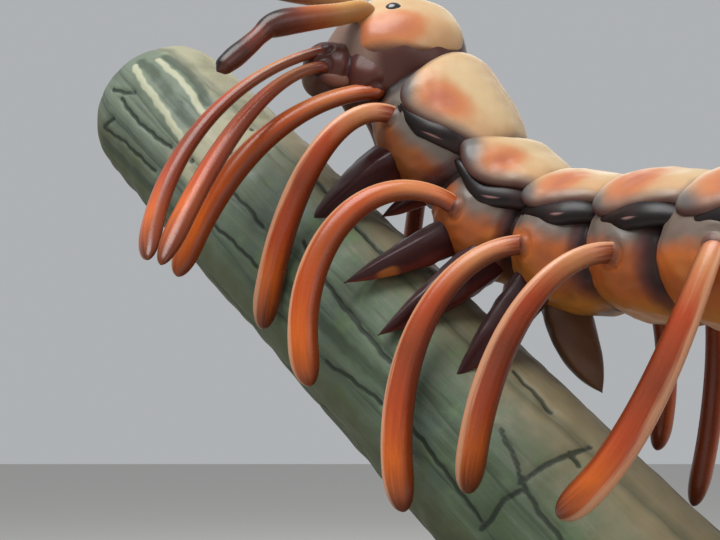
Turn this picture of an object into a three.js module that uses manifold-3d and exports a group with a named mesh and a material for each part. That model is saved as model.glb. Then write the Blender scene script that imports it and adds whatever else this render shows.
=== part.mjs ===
// A giant centipede, made as a painted display sculpture that climbs along a slanting trunk.
// Millimetres, +Z up. The origin is the middle of the underside of the base.
// The animal's head is towards -X, and its hind end comes down in a bend behind +X.
import * as THREE from 'three';
import { mergeVertices } from 'three/addons/utils/BufferGeometryUtils.js';
import Module from 'manifold-3d';

const wasm = await Module();
wasm.setup();

// Driving dimensions
const GAP = 0.3; // between two pieces that touch
const SOCKET_GAP = 0.5; // round a root in its socket, at its narrowest about GAP

const BASE = { length: 5600, width: 4200, thick: 120, corner: 700, bevel: 12 };

const TRUNK = {
  upper: [-3385, 1150, 3930], // middle of the last full section
  lower: [-800, -130, 1050], // another point of the axis
  radius: 590,
  upperSize: 0.95, // of the radius, at the upper end
  crown: 450, // length of the rounded end
  crownTurns: [20, 40, 58, 74, 86], // stations over the rounded end, in degrees
  crownFlatness: 0.75, // under 1 makes the end flatter than a ball's
  ribs: 9,
  ribDepth: 0.05, // of the radius
  sides: 32,
};

const BODY = {
  halfWidth: 440,
  halfHeight: 385,
  sides: 18, // of the section
  steps: 4, // along a ring
  rings: 12,
  firstLength: 720, // the first ring behind the neck is the longest
  pitch: 574, // length of the others
  lastShrink: 0.8, // length of the last ring, of the others
  waist: 0.83, // section at a crease, of the full one
  roll: 30, // the front end is turned about its length, the left side down, in degrees
  rollFrom: 250, // distance along the axis where the roll starts to run out
  rollTo: 1500,
  taperFrom: 4100, // distance along the axis where the taper starts
  tailSize: 0.5, // section at the hind end, of the full one
  taperBend: 1.2, // more than 1 tapers most near the hind end
};

// The axis of the body, from the back of the neck to the hind end.
const BODY_AXIS = [
  [-1620, 210, 3790], [-1420, 150, 3450], [-1120, 60, 2960], [-720, -250, 2700], [-370, -700, 2580],
  [-110, -1200, 2460], [300, -1600, 2370], [800, -1840, 2250], [1350, -1870, 2080], [1860, -1680, 1860],
  [2250, -1320, 1610], [2450, -860, 1340], [2450, -380, 1060], [2320, 80, 810], [2150, 450, 640],
];
const RINGS_PER_LENGTH = 2; // the body is made in lengths of two rings

const PLATE = {
  frontAngle: 77, // where the flap ends at its front corner, in degrees from the ridge
  firstFrontAngle: 74, // the same on the first ring
  rearAngle: 56,
  behind: [0, -50, 95, 60, 90], // how far behind a ring's front its plate starts, the last for all after
  sweep: [-60, 115, 93, 20, 0], // how far forward of that its flaps reach
  frontRise: 0.11, // above the flesh at its front edge, of the flesh's section
  rearRise: 0.03,
  dome: 0.07, // more at its middle
  lip: 0.05, // less at its two side edges
  sunk: 0.2, // how deep its underside lies in the flesh
  span: 0.985, // of the ring's length
  across: 8,
  along: 4,
};

const TAIL = {
  plateLength: 430,
  length: 560,
  shoulder: 0.25, // where it is widest, of its length
  stations: [0, 0.1, 0.25, 0.42, 0.6, 0.76, 0.9, 1],
};

// Thick spines under the belly. place runs from -1 at the ring's front to 1, angle is from the ridge to
// the left in degrees, and forward is the lean to the head. root is the half width at the root.
const SPINE = {
  sides: 7,
  rootLevel: 0.55, // where it starts inside the flesh, of the section
  flatness: 0.85,
  fullness: 2.5, // more keeps a spine wide nearer to its tip
  tip: 6, // half width of its tip
  stations: [0, 0.2, 0.45, 0.7, 0.88, 1],
};
const SPINES = [
  { ring: 0, place: -0.04, angle: 138, length: 640, forward: -0.08, root: 220 },
  { ring: 0, place: 0.7, angle: 153, length: 230, forward: 0, root: 90 },
  { ring: 1, place: -0.28, angle: 133, length: 690, forward: 0.1, root: 150 },
  { ring: 1, place: 0.44, angle: 138, length: 740, forward: 0.13, root: 175 },
  { ring: 2, place: -0.5, angle: 150, length: 680, forward: 0.085, root: 163 },
  { ring: 2, place: -0.42, angle: 190, length: 410, forward: -0.66, root: 180 },
  { ring: 0, place: -0.1, angle: 222, length: 330, forward: 0.1, root: 115 },
  { ring: 1, place: -0.3, angle: 226, length: 340, forward: 0.1, root: 120 },
  { ring: 1, place: 0.4, angle: 222, length: 340, forward: 0, root: 110 },
];

// A short post under the belly that stands on the trunk.
const POST = { ring: 1, place: 0.2, radius: 95, sides: 10 };

// Rods from the base up into the belly.
const RODS = [
  { name: 'stand_rod_middle', ring: 7, place: 0 },
  { name: 'stand_rod_rear', ring: 10, place: 0 },
];
const ROD = { radius: 42, foot: 150, footThick: 24, reach: 0.7, sides: 16 }; // reach is into the belly

const LEG = {
  sunk: 90, // how far a root reaches into its socket
  halfWidth: 82, // at the widest, in the plane of the leg's bend
  flatness: 0.74, // thickness against width
  rootWidth: 0.66, // of the full width
  sides: 8,
  stations: [0, 0.12, 0.27, 0.43, 0.59, 0.75, 0.88, 0.96, 1],
};

// How each leg stands. place and angle are where it leaves its ring, sweep turns it from straight out
// towards the head in degrees, reach and drop are the half axes of its arc, from and to are the arc's ends
// in degrees, and lean is how far the tip has moved on towards the head.
const NECK_LEGS = {
  left: [
    { along: 0.99, angle: 63, sweep: 102, reach: 1015, drop: 1165, from: -10, to: 107, lean: -940 },
    { along: 0.99, angle: 104, sweep: 98, reach: 950, drop: 2990, from: -2, to: 58, lean: -890 },
    { along: 0.45, angle: 130, sweep: 102, reach: 1330, drop: 1960, from: -2, to: 66, lean: -40 },
  ],
  right: [
    { along: 0.91, angle: 98, sweep: -32, reach: 700, drop: 400, from: 37, to: 95, lean: 50 },
    { along: 0.63, angle: 106, sweep: -32, reach: 700, drop: 400, from: 37, to: 95, lean: 65 },
    { along: 0.37, angle: 123, sweep: -42, reach: 780, drop: 440, from: 29, to: 89, lean: -50 },
  ],
};
const NECK_LEG_SIZES = [0.75, 0.78, 0.95]; // of a full leg
const LEFT_LEGS = [
  { place: -0.48, angle: 88, sweep: 54, reach: 580, drop: 1250, from: 7, to: 91, lean: 490 },
  { place: -0.35, angle: 96, sweep: 60, reach: 600, drop: 820, from: 28, to: 112, lean: 0 },
  { place: -0.4, angle: 102, sweep: 50, reach: 710, drop: 1090, from: 0, to: 108, lean: 0 },
  { place: 0.16, angle: 98, sweep: 16, reach: 600, drop: 980, from: 3, to: 102, lean: 500 },
  { place: 0.1, angle: 91, sweep: -19, reach: 100, drop: 640, from: 0, to: 148, lean: 760 },
];
const RIGHT_LEGS = [
  { place: -0.3, angle: 128, sweep: 40, reach: 480, drop: 1910, from: 19, to: 77, lean: 50 },
  { place: 0, angle: 112, sweep: 40, reach: 440, drop: 1610, from: 0, to: 86, lean: 140 },
  { place: 0, angle: 98, sweep: 0, reach: 560, drop: 840, from: 8, to: 109, lean: 190 },
  { place: -0.5, angle: 98, sweep: 20, reach: 600, drop: 1040, from: 1, to: 107, lean: 290 },
];
const HIND_LEGS = {
  left: { place: 0, angle: 98, sweep: 8, reach: 560, drop: 1120, from: 12, to: 104, lean: 0 },
  right: { place: 0, angle: 98, sweep: 4, reach: 300, drop: 1120, from: 14, to: 100, lean: 0 },
};
const HIND_SWEEP = -5; // more for each ring, so the hind legs point back
const LAST_LEGS = { place: 0.3, angle: 96, sweep: -62, reach: 900, drop: 1300, from: 8, to: 88, lean: 0 };
const FLOOR_CLEAR = 170; // the least height of a tip over the base's top

const NECK = {
  path: [[-1700, 230, 3880], [-1930, 150, 3860], [-2250, 100, 3900]],
  halfWidths: [285, 283, 185],
  halfHeights: [255, 245, 165],
  sides: 16,
  nose: [[70, 0.75], [110, 0.35]], // how far ahead of the path's end, and the section there
  collar: [[0, 0.83], [45, 0.74], [130, 0.68], [220, 0.5], [290, 0.22]], // the same, ahead of the body
};

const HEAD = {
  centre: [-1770, 250, 4030],
  forward: [-0.97, -0.1, -0.12],
  roll: 32, // turn about its own length, the left side down, in degrees
  halfLength: 465,
  halfWidth: 450,
  halfHeight: 385,
  back: 60, // its back face, ahead of the body's front
  shieldAngle: 72, // where the shield's side edges are, in degrees from the ridge
  shieldFrom: -0.86, // its rear edge along the head, of the half length
  shieldTo: 0.74,
  shieldRise: 0.06,
};

// Places on the head are forward, left and up from its middle. The right side is the mirror image.
const EYE = { at: [35, 185, 345], halfLength: 58, halfWidth: 50, halfHeight: 48 };
const ANTENNA = {
  left: [
    [175, 110, 290], [210, 155, 346], [400, 250, 350], [620, 330, 348], [760, 385, 341], [830, 420, 325],
    [870, 450, 300], [950, 515, 250], [1040, 590, 200], [1115, 650, 160], [1150, 675, 142],
  ],
  right: [
    [175, 110, 290], [210, 155, 346], [400, 250, 400], [620, 330, 450], [760, 385, 490], [830, 420, 500],
    [870, 450, 500], [950, 515, 490], [1040, 590, 475], [1115, 650, 450], [1140, 665, 440],
  ],
  widths: [58, 64, 68, 76, 82, 66, 52, 58, 64, 52, 22],
};
const CLAW = {
  line: [[250, 205, -80], [340, 275, -55], [430, 315, -30], [505, 310, -8], [558, 300, 5]],
  widths: [58, 60, 48, 30, 8],
};
const JAWS = [{ at: [430, 90, -110], size: 105 }, { at: [395, 0, 20], size: 150 }];
const JAW_SECTION = { width: 0.8, height: 0.7 }; // of the size

const COLOURS = {
  body: 0xd8b088,
  leg: 0xc8622d,
  antenna: 0xc87a3a,
  claw: 0x5a2a1a,
  eye: 0x0c0a0a,
  trunk: 0x6f8068,
  stand: 0x8d8a84,
};

// Shapes and solids

const vec = (a) => new THREE.Vector3(...a);
const rad = THREE.MathUtils.degToRad;
const mix = THREE.MathUtils.lerp;
const smooth = (x) => THREE.MathUtils.smoothstep(x, 0, 1);

function toSolid(geometry) {
  const bare = geometry.clone();
  bare.deleteAttribute('normal');
  bare.deleteAttribute('uv');
  const merged = mergeVertices(bare, 1e-3);
  return new wasm.Manifold(new wasm.Mesh({
    numProp: 3,
    vertProperties: new Float32Array(merged.attributes.position.array),
    triVerts: new Uint32Array(merged.index.array),
  }));
}

function toGeometry(solid) {
  const mesh = solid.getMesh();
  const geometry = new THREE.BufferGeometry();
  geometry.setAttribute('position', new THREE.BufferAttribute(Float32Array.from(mesh.vertProperties), 3));
  geometry.setIndex(Array.from(mesh.triVerts));
  geometry.computeVertexNormals();
  return geometry;
}

// After a cut or a join only the largest closed surface is kept.
function largest(solid) {
  const pieces = solid.decompose();
  pieces.sort((a, b) => b.volume() - a.volume());
  return pieces[0];
}

// A geometry from points and triangles, turned so that its faces point out.
function closedBody(points, index) {
  let volume = 0;
  for (let i = 0; i < index.length; i += 3) {
    const [a, b, c] = index.slice(i, i + 3).map((n) => points[n]);
    volume += a.dot(new THREE.Vector3().crossVectors(b, c));
  }
  const turned = volume < 0 ? [...index].reverse() : index;
  const geometry = new THREE.BufferGeometry();
  geometry.setAttribute('position', new THREE.Float32BufferAttribute(points.flatMap((p) => p.toArray()), 3));
  geometry.setIndex(turned);
  return geometry;
}

// A closed body through round rings of points, with a fan over each end.
function loft(rings) {
  const count = rings[0].length;
  const middle = (ring) => ring.reduce((sum, p) => sum.add(p), new THREE.Vector3()).divideScalar(count);
  const points = [...rings.flat(), middle(rings[0]), middle(rings.at(-1))];
  const last = (rings.length - 1) * count;
  const index = [];
  for (let j = 0; j < count; j += 1) {
    const k = (j + 1) % count;
    index.push(points.length - 2, k, j, points.length - 1, last + j, last + k);
    for (let a = 0; a < last; a += count) {
      index.push(a + j, a + k, a + count + k, a + j, a + count + k, a + count + j);
    }
  }
  return closedBody(points, index);
}

// A closed slab between two grids of points of the same size.
function slab(outer, inner) {
  const rows = outer.length;
  const columns = outer[0].length;
  const points = [...outer.flat(), ...inner.flat()];
  const under = rows * columns;
  const id = (i, j) => i * columns + j;
  const index = [];
  const quad = (a, b, c, d) => index.push(a, b, c, a, c, d);
  for (let i = 0; i < rows - 1; i += 1) {
    for (let j = 0; j < columns - 1; j += 1) {
      quad(id(i, j), id(i, j + 1), id(i + 1, j + 1), id(i + 1, j));
      quad(under + id(i, j), under + id(i + 1, j), under + id(i + 1, j + 1), under + id(i, j + 1));
    }
    quad(id(i, 0), id(i + 1, 0), under + id(i + 1, 0), under + id(i, 0));
    const end = columns - 1;
    quad(id(i + 1, end), id(i, end), under + id(i, end), under + id(i + 1, end));
  }
  const last = rows - 1;
  for (let j = 0; j < columns - 1; j += 1) {
    quad(id(0, j + 1), id(0, j), under + id(0, j), under + id(0, j + 1));
    quad(id(last, j), id(last, j + 1), under + id(last, j + 1), under + id(last, j));
  }
  return closedBody(points, index);
}

// A tapered round body along a line of points, an oval of half axes wide and thick at each point. At the tip
// the thick half axis lies along flat, and from there the section follows the line without a twist. The
// root's end is moved on by extend.
function limb(points, wide, thick, flat, sides, extend) {
  const last = points.length - 1;
  const alongAt = (i) => points[Math.min(last, i + 1)].clone().sub(points[Math.max(0, i - 1)]).normalize();
  const out = new THREE.Vector3().crossVectors(alongAt(last), flat);
  const sections = [];
  for (let i = last; i >= 0; i -= 1) {
    const along = alongAt(i);
    out.addScaledVector(along, -out.dot(along)).normalize();
    const side = new THREE.Vector3().crossVectors(out, along);
    const centre = points[i].clone().addScaledVector(along, i === 0 ? -extend : 0);
    sections.unshift(Array.from({ length: sides }, (_, j) => {
      const angle = (j / sides) * 2 * Math.PI;
      return centre.clone().addScaledVector(out, Math.cos(angle) * wide[i])
        .addScaledVector(side, Math.sin(angle) * thick[i]);
    }));
  }
  return loft(sections);
}

// The trunk

const trunkUp = vec(TRUNK.upper).sub(vec(TRUNK.lower)).normalize();
const trunkSide = new THREE.Vector3(0, 0, 1).cross(trunkUp).normalize();
const trunkTop = new THREE.Vector3().crossVectors(trunkUp, trunkSide);

// A point by its place along the trunk's axis, the angle round it from the top, and the distance from it.
function trunkPoint([along, angle, radius]) {
  return vec(TRUNK.lower).addScaledVector(trunkUp, along)
    .addScaledVector(trunkTop, Math.cos(rad(angle)) * radius)
    .addScaledVector(trunkSide, Math.sin(rad(angle)) * radius);
}

// The trunk's surface, moved out by extra. It starts under the floor and is cut at the base later.
function trunkSolid(extra) {
  const start = -(TRUNK.lower[2] + TRUNK.radius) / trunkUp.z;
  const end = vec(TRUNK.upper).distanceTo(vec(TRUNK.lower));
  const stations = [{ along: start, size: 1 }, { along: 0, size: 1 }, { along: end, size: TRUNK.upperSize }];
  for (const turn of TRUNK.crownTurns) {
    const along = end + (TRUNK.crown + extra) * Math.sin(rad(turn));
    stations.push({ along, size: TRUNK.upperSize * Math.cos(rad(turn)) ** TRUNK.crownFlatness });
  }
  return toSolid(loft(stations.map(({ along, size }) => Array.from({ length: TRUNK.sides }, (_, j) => {
    const angle = (j / TRUNK.sides) * 360;
    const groove = (1 - Math.abs(Math.sin((TRUNK.ribs * rad(angle)) / 2))) ** 2;
    return trunkPoint([along, angle, (TRUNK.radius * (1 - TRUNK.ribDepth * groove) + extra) * size]);
  }))));
}
const trunkClear = trunkSolid(GAP);

// A big block under a level, to cut what stands on it.
function blockBelow(level) {
  const block = new THREE.BoxGeometry(20000, 20000, 4000);
  block.translate(0, 0, level - 2000);
  return toSolid(block);
}
const trunk = trunkSolid(0).subtract(blockBelow(BASE.thick + GAP));

// The animal's body

const axis = new THREE.CatmullRomCurve3(BODY_AXIS.map(vec), false, 'centripetal');
axis.arcLengthDivisions = 600;
const axisLength = axis.getLength();

const ringLengths = Array.from({ length: BODY.rings }, (_, ring) => (ring === 0 ? BODY.firstLength
  : BODY.pitch * mix(1, BODY.lastShrink, smooth((ring - 6) / 5))));
const ringStarts = ringLengths.map((_, ring) => ringLengths.slice(0, ring).reduce((a, b) => a + b, 0));
const bodyEnd = ringStarts.at(-1) + ringLengths.at(-1);

// The frame at a distance along the axis: forward is towards the head, up is the ridge, left is the side.
function frameAt(distance) {
  const u = THREE.MathUtils.clamp(distance / axisLength, 0, 1);
  const forward = axis.getTangentAt(u).negate();
  const up = new THREE.Vector3(0, 0, 1).addScaledVector(forward, -forward.z).normalize();
  const roll = BODY.roll * (1 - smooth((distance - BODY.rollFrom) / (BODY.rollTo - BODY.rollFrom)));
  up.applyAxisAngle(forward, -rad(roll));
  const left = new THREE.Vector3().crossVectors(up, forward);
  return { at: axis.getPointAt(u), forward, up, left };
}

// Size of the section along the axis, 1 along most of the body.
function sizeAt(distance) {
  const taper = Math.max(0, distance - BODY.taperFrom) / (axisLength - BODY.taperFrom);
  return mix(1, BODY.tailSize, taper ** BODY.taperBend);
}

// A point of the body's surface. angle is from the ridge to the left, and swell scales the section.
function bodyPoint(distance, angle, swell) {
  const { at, up, left } = frameAt(distance);
  const size = sizeAt(distance) * swell;
  return at.addScaledVector(up, Math.cos(angle) * BODY.halfHeight * size)
    .addScaledVector(left, Math.sin(angle) * BODY.halfWidth * size);
}

// A ring of the body's section at a distance, swollen by swell.
function sectionAt(distance, swell) {
  return Array.from({ length: BODY.sides }, (_, j) => (
    bodyPoint(distance, (j / BODY.sides) * 2 * Math.PI, swell)));
}

// The flesh from ring first to ring last, with a crease between two rings.
function fleshSolid(first, last) {
  const start = ringStarts[first] + GAP / 2;
  const end = ringStarts[last] + ringLengths[last] - GAP / 2;
  const sections = [];
  for (let ring = first; ring <= last; ring += 1) {
    for (let i = ring === first ? 0 : 1; i <= BODY.steps; i += 1) {
      const k = i / BODY.steps;
      const distance = THREE.MathUtils.clamp(ringStarts[ring] + ringLengths[ring] * k, start, end);
      sections.push(sectionAt(distance, mix(1, BODY.waist, Math.abs(2 * k - 1) ** 3)));
    }
  }
  return toSolid(loft(sections));
}

// The rounded hind end behind the last ring.
function tailSolid() {
  const round = (k) => Math.sqrt(Math.max(0.01, 1 - ((k - TAIL.shoulder) / (1 - TAIL.shoulder)) ** 2));
  const sections = TAIL.stations.map((k) => {
    const swell = k < TAIL.shoulder ? mix(BODY.waist, 1, smooth(k / TAIL.shoulder)) : round(k);
    return sectionAt(bodyEnd + GAP / 2 + k * TAIL.length, swell);
  });
  return toSolid(loft(sections));
}

// A dorsal plate from start over length: a domed slab, high at its front edge, whose side flaps are longest
// in front.
function plateSolid(start, length, frontAngle, sweep) {
  const outer = [];
  const inner = [];
  const angles = Array.from({ length: PLATE.across + 1 }, (_, j) => mix(-1, 1, j / PLATE.across));
  for (let i = 0; i <= PLATE.along; i += 1) {
    const place = mix(-1, 1, i / PLATE.along);
    const edge = rad(mix(frontAngle, PLATE.rearAngle, smooth((place + 1) / 2)));
    const top = 1 + mix(PLATE.frontRise, PLATE.rearRise, (place + 1) / 2) + PLATE.dome * (1 - place ** 4);
    const distance = start + (length / 2) * (1 + place * PLATE.span);
    const at = (a) => distance - (sweep * (2.2 * a ** 2 - 1.2 * a ** 4) * (1 - place)) / 2;
    outer.push(angles.map((a) => bodyPoint(at(a), a * edge, top - PLATE.lip * a ** 6)));
    inner.push(angles.map((a) => bodyPoint(at(a), a * edge, 1 - PLATE.sunk)));
  }
  return toSolid(slab(outer, inner));
}

// The distance along the axis where a ring's plate starts.
const plateStart = (ring) => ringStarts[ring] + PLATE.behind[Math.min(ring, PLATE.behind.length - 1)];
const plateSweep = (ring) => PLATE.sweep[Math.min(ring, PLATE.sweep.length - 1)];

// A spine that grows from the belly, thick at its root and bent a little to its tip.
function spineSolid({ ring, place, angle, length, forward, root }) {
  const distance = ringStarts[ring] + (ringLengths[ring] * (1 + place)) / 2;
  const frame = frameAt(distance);
  const start = bodyPoint(distance, rad(angle), SPINE.rootLevel);
  const out = bodyPoint(distance, rad(angle), 1).sub(start).normalize();
  const full = length + start.distanceTo(bodyPoint(distance, rad(angle), 1));
  const points = SPINE.stations.map((k) => start.clone().addScaledVector(out, k * full)
    .addScaledVector(frame.forward, forward * k ** 1.6 * full));
  const wide = SPINE.stations.map((k) => Math.max(SPINE.tip, root * (1 - k ** SPINE.fullness)));
  const thick = wide.map((w) => w * SPINE.flatness);
  return toSolid(limb(points, wide, thick, frame.forward, SPINE.sides, 0));
}

// The post, from the body's axis to the trunk's.
function postSolid() {
  const start = frameAt(ringStarts[POST.ring] + (ringLengths[POST.ring] * (1 + POST.place)) / 2);
  const offset = start.at.clone().sub(vec(TRUNK.lower));
  const foot = vec(TRUNK.lower).addScaledVector(trunkUp, offset.dot(trunkUp));
  const points = [start.at, start.at.clone().lerp(foot, 0.5), foot];
  const widths = points.map(() => POST.radius);
  return toSolid(limb(points, widths, widths, start.forward, POST.sides, 0));
}

// A rod with a round foot on the base, and its copy moved out by extra for the socket in the belly.
function rodSolid({ ring, place }, extra) {
  const { at } = frameAt(ringStarts[ring] + (ringLengths[ring] * (1 + place)) / 2);
  const size = sizeAt(ringStarts[ring]);
  const top = at.z - BODY.halfHeight * size * ROD.reach + extra;
  const floor = BASE.thick + GAP;
  const profile = [[0, floor], [ROD.foot, floor], [ROD.foot, floor + ROD.footThick],
    [ROD.radius + extra, floor + ROD.footThick], [ROD.radius + extra, top], [0, top]];
  const rod = new THREE.LatheGeometry(profile.map(([x, y]) => new THREE.Vector2(x, y)), ROD.sides);
  rod.rotateX(Math.PI / 2);
  rod.translate(at.x, at.y, 0);
  return toSolid(rod);
}

// Legs

// The line that a leg follows from its root. out is level and points off the body, ahead is level too.
function legLine(root, out, ahead, pose) {
  const direction = out.clone().multiplyScalar(Math.cos(rad(pose.sweep)))
    .addScaledVector(ahead, Math.sin(rad(pose.sweep)));
  const across = ahead.clone().multiplyScalar(Math.cos(rad(pose.sweep)))
    .addScaledVector(out, -Math.sin(rad(pose.sweep)));
  const begin = rad(-pose.from);
  return LEG.stations.map((k) => {
    const turn = mix(begin, rad(pose.to), k);
    return root.clone().addScaledVector(direction, pose.reach * (Math.sin(turn) - Math.sin(begin)))
      .add(new THREE.Vector3(0, 0, -pose.drop * (Math.cos(begin) - Math.cos(turn))))
      .addScaledVector(across, pose.lean * k ** 2);
  });
}

// A leg along its line, moved out by extra. Its root is sunk back and towards the middle of what carries it.
function legSolid({ line, middle, size }, extra) {
  const back = line[0].clone().sub(line[1]).normalize();
  const inward = middle.clone().sub(line[0]).normalize().add(back).normalize();
  const points = [line[0].clone().addScaledVector(inward, LEG.sunk), ...line];
  const full = LEG.stations.map((k) => {
    const widening = mix(LEG.rootWidth, 1, smooth(k / 0.8));
    const tip = Math.sqrt(1 - Math.min(0.98, Math.max(0, (k - 0.84) / 0.16) ** 2));
    return LEG.halfWidth * size * widening * tip + extra;
  });
  full.unshift(full[0]);
  const knee = line[4];
  const plane = new THREE.Vector3().crossVectors(knee.clone().sub(line[0]), line.at(-1).clone().sub(knee));
  const thick = full.map((w) => w * LEG.flatness + extra * (1 - LEG.flatness));
  return toSolid(limb(points, full, thick, plane.normalize(), LEG.sides, extra));
}

const level = (v) => v.clone().setZ(0).normalize();
const sideOf = (forward) => new THREE.Vector3(0, 0, 1).cross(forward).normalize(); // level, to the left

const legs = []; // { name, carrier, line, middle, size }

for (let ring = 0; ring < BODY.rings; ring += 1) {
  const number = String(ring + NECK_LEGS.left.length + 1).padStart(2, '0');
  for (const [side, sign, shown] of [['left', 1, LEFT_LEGS], ['right', -1, RIGHT_LEGS]]) {
    const hind = HIND_LEGS[side];
    const behind = { ...hind, sweep: hind.sweep + HIND_SWEEP * (ring - shown.length + 1) };
    const pose = ring === BODY.rings - 1 ? { ...LAST_LEGS } : { ...(shown[ring] ?? behind) };
    const distance = ringStarts[ring] + (ringLengths[ring] * (1 + pose.place)) / 2;
    const root = bodyPoint(distance, sign * rad(pose.angle), 1);
    const fall = Math.cos(rad(pose.from)) - Math.cos(rad(pose.to));
    pose.drop = Math.min(pose.drop, (root.z - BASE.thick - FLOOR_CLEAR) / fall);
    const { at: middle, forward } = frameAt(distance);
    legs.push({
      name: `leg_${side}_${number}`,
      carrier: `torso_${Math.floor(ring / RINGS_PER_LENGTH) + 1}`,
      line: legLine(root, sideOf(forward).multiplyScalar(sign), level(forward), pose),
      middle,
      size: Math.sqrt(sizeAt(distance)),
    });
  }
}

// The neck, which carries the first three pairs under the head

const neckPath = new THREE.CatmullRomCurve3(NECK.path.map(vec), false, 'centripetal');

function neckFrame(along) {
  const forward = neckPath.getTangentAt(along);
  const up = new THREE.Vector3(0, 0, 1).addScaledVector(forward, -forward.z).normalize();
  const left = new THREE.Vector3().crossVectors(up, forward);
  return { at: neckPath.getPointAt(along), forward, up, left };
}

function neckPoint(along, angle, extra) {
  const { at, up, left } = neckFrame(along);
  const pick = ([rear, middle, front]) => (
    along < 0.5 ? mix(rear, middle, along * 2) : mix(middle, front, along * 2 - 1));
  return at.addScaledVector(up, Math.cos(angle) * (pick(NECK.halfHeights) + extra))
    .addScaledVector(left, Math.sin(angle) * (pick(NECK.halfWidths) + extra));
}

function neckSolid(extra) {
  const stations = [0, 0.25, 0.5, 0.75, 1];
  const sections = stations.map((along) => Array.from({ length: NECK.sides }, (_, j) => (
    neckPoint(along, (j / NECK.sides) * 2 * Math.PI, extra))));
  const rear = neckFrame(0);
  sections[0].forEach((p) => p.addScaledVector(rear.forward, -extra));
  const front = neckFrame(1);
  const end = sections.at(-1);
  for (const [ahead, size] of NECK.nose) {
    const moved = front.forward.clone().multiplyScalar(ahead + extra);
    sections.push(end.map((p) => front.at.clone().lerp(p, size).add(moved)));
  }
  const back = frameAt(0);
  const collar = NECK.collar.map(([ahead, size]) => {
    const moved = back.forward.clone().multiplyScalar(ahead + GAP / 2 + (ahead > 0 ? extra : 0));
    return sectionAt(0, size).map((p) => p.lerp(back.at, -extra / BODY.halfHeight).add(moved));
  });
  return toSolid(loft(sections)).add(toSolid(loft(collar)));
}

for (const [side, sign] of [['left', 1], ['right', -1]]) {
  NECK_LEGS[side].forEach((pose, i) => {
    const { at: middle, forward } = neckFrame(pose.along);
    const root = neckPoint(pose.along, sign * rad(pose.angle), 0);
    legs.push({
      name: `leg_${side}_${String(i + 1).padStart(2, '0')}`,
      carrier: 'neck',
      line: legLine(root, sideOf(forward).multiplyScalar(sign), level(forward), pose),
      middle,
      size: NECK_LEG_SIZES[i],
    });
  });
}

// The head

const headForward = vec(HEAD.forward).normalize();
const headLevel = new THREE.Vector3(0, 0, 1).addScaledVector(headForward, -headForward.z).normalize();
const headUp = headLevel.applyAxisAngle(headForward, -rad(HEAD.roll));
const headLeft = new THREE.Vector3().crossVectors(headUp, headForward);

function headPoint([forward, left, up], sign = 1) {
  return vec(HEAD.centre).addScaledVector(headForward, forward).addScaledVector(headLeft, sign * left)
    .addScaledVector(headUp, up);
}

// A point of the skull. along runs from -1 at the back to 1, and angle is from the ridge to the left.
function skullPoint(along, angle, swell) {
  const round = Math.sqrt(Math.max(0, 1 - along ** 2)) * swell;
  return headPoint([along * HEAD.halfLength * swell, Math.sin(angle) * HEAD.halfWidth * round,
    Math.cos(angle) * HEAD.halfHeight * round]);
}

// An oval body on the head, with its half axes forward, left and up.
function ovalSolid(at, half, sign, columns, rows) {
  const oval = new THREE.SphereGeometry(1, columns, rows);
  oval.scale(...half);
  const turn = new THREE.Matrix4().makeBasis(headForward, headLeft, headUp);
  oval.applyMatrix4(turn.setPosition(headPoint(at, sign)));
  return toSolid(oval);
}

function shieldSolid() {
  const outer = [];
  const inner = [];
  const angles = Array.from({ length: PLATE.across + 1 }, (_, j) => mix(-1, 1, j / PLATE.across));
  for (let i = 0; i <= PLATE.along; i += 1) {
    const along = mix(HEAD.shieldFrom, HEAD.shieldTo, i / PLATE.along);
    const rise = (a) => 1 + HEAD.shieldRise * (1 - (i / PLATE.along) ** 6 / 2) * (1 - a ** 6 / 2);
    outer.push(angles.map((a) => skullPoint(along, a * rad(HEAD.shieldAngle), rise(a))));
    inner.push(angles.map((a) => skullPoint(along, a * rad(HEAD.shieldAngle), 1 - PLATE.sunk)));
  }
  return toSolid(slab(outer, inner));
}

// All that lies behind a face across the front end of the body, moved ahead by ahead.
function behindFace(ahead) {
  const block = new THREE.BoxGeometry(3000, 3000, 1500);
  block.translate(0, 0, 750 - ahead - GAP / 2);
  const back = frameAt(0);
  const turn = new THREE.Matrix4().makeBasis(back.up, back.left, back.forward.clone().negate());
  block.applyMatrix4(turn.setPosition(back.at));
  return toSolid(block);
}

function headSolid() {
  const skull = ovalSolid([0, 0, 0], [HEAD.halfLength, HEAD.halfWidth, HEAD.halfHeight], 1, 16, 10);
  let solid = skull.add(shieldSolid());
  for (const { at, size } of JAWS) {
    const half = [size, size * JAW_SECTION.width, size * JAW_SECTION.height];
    for (const sign of at[1] ? [1, -1] : [1]) solid = solid.add(ovalSolid(at, half, sign, 10, 6));
  }
  return solid;
}

// A horn on the head, moved out by extra: an antenna or a poison claw.
function hornSolid(line, widths, sign, extra) {
  const points = line.map((p) => headPoint(p, sign));
  const wide = widths.map((w) => w + extra);
  return toSolid(limb(points, wide, wide, headUp, LEG.sides, extra));
}

const eyeSolid = (sign, extra) => (
  ovalSolid(EYE.at, [EYE.halfLength + extra, EYE.halfWidth + extra, EYE.halfHeight + extra], sign, 12, 8));

// All pieces

const group = new THREE.Group();

function add(name, solid, colour) {
  const material = new THREE.MeshStandardMaterial({ color: colour, roughness: 0.35, metalness: 0 });
  const mesh = new THREE.Mesh(toGeometry(largest(solid)), material);
  mesh.name = name;
  group.add(mesh);
}

// The base

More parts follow.
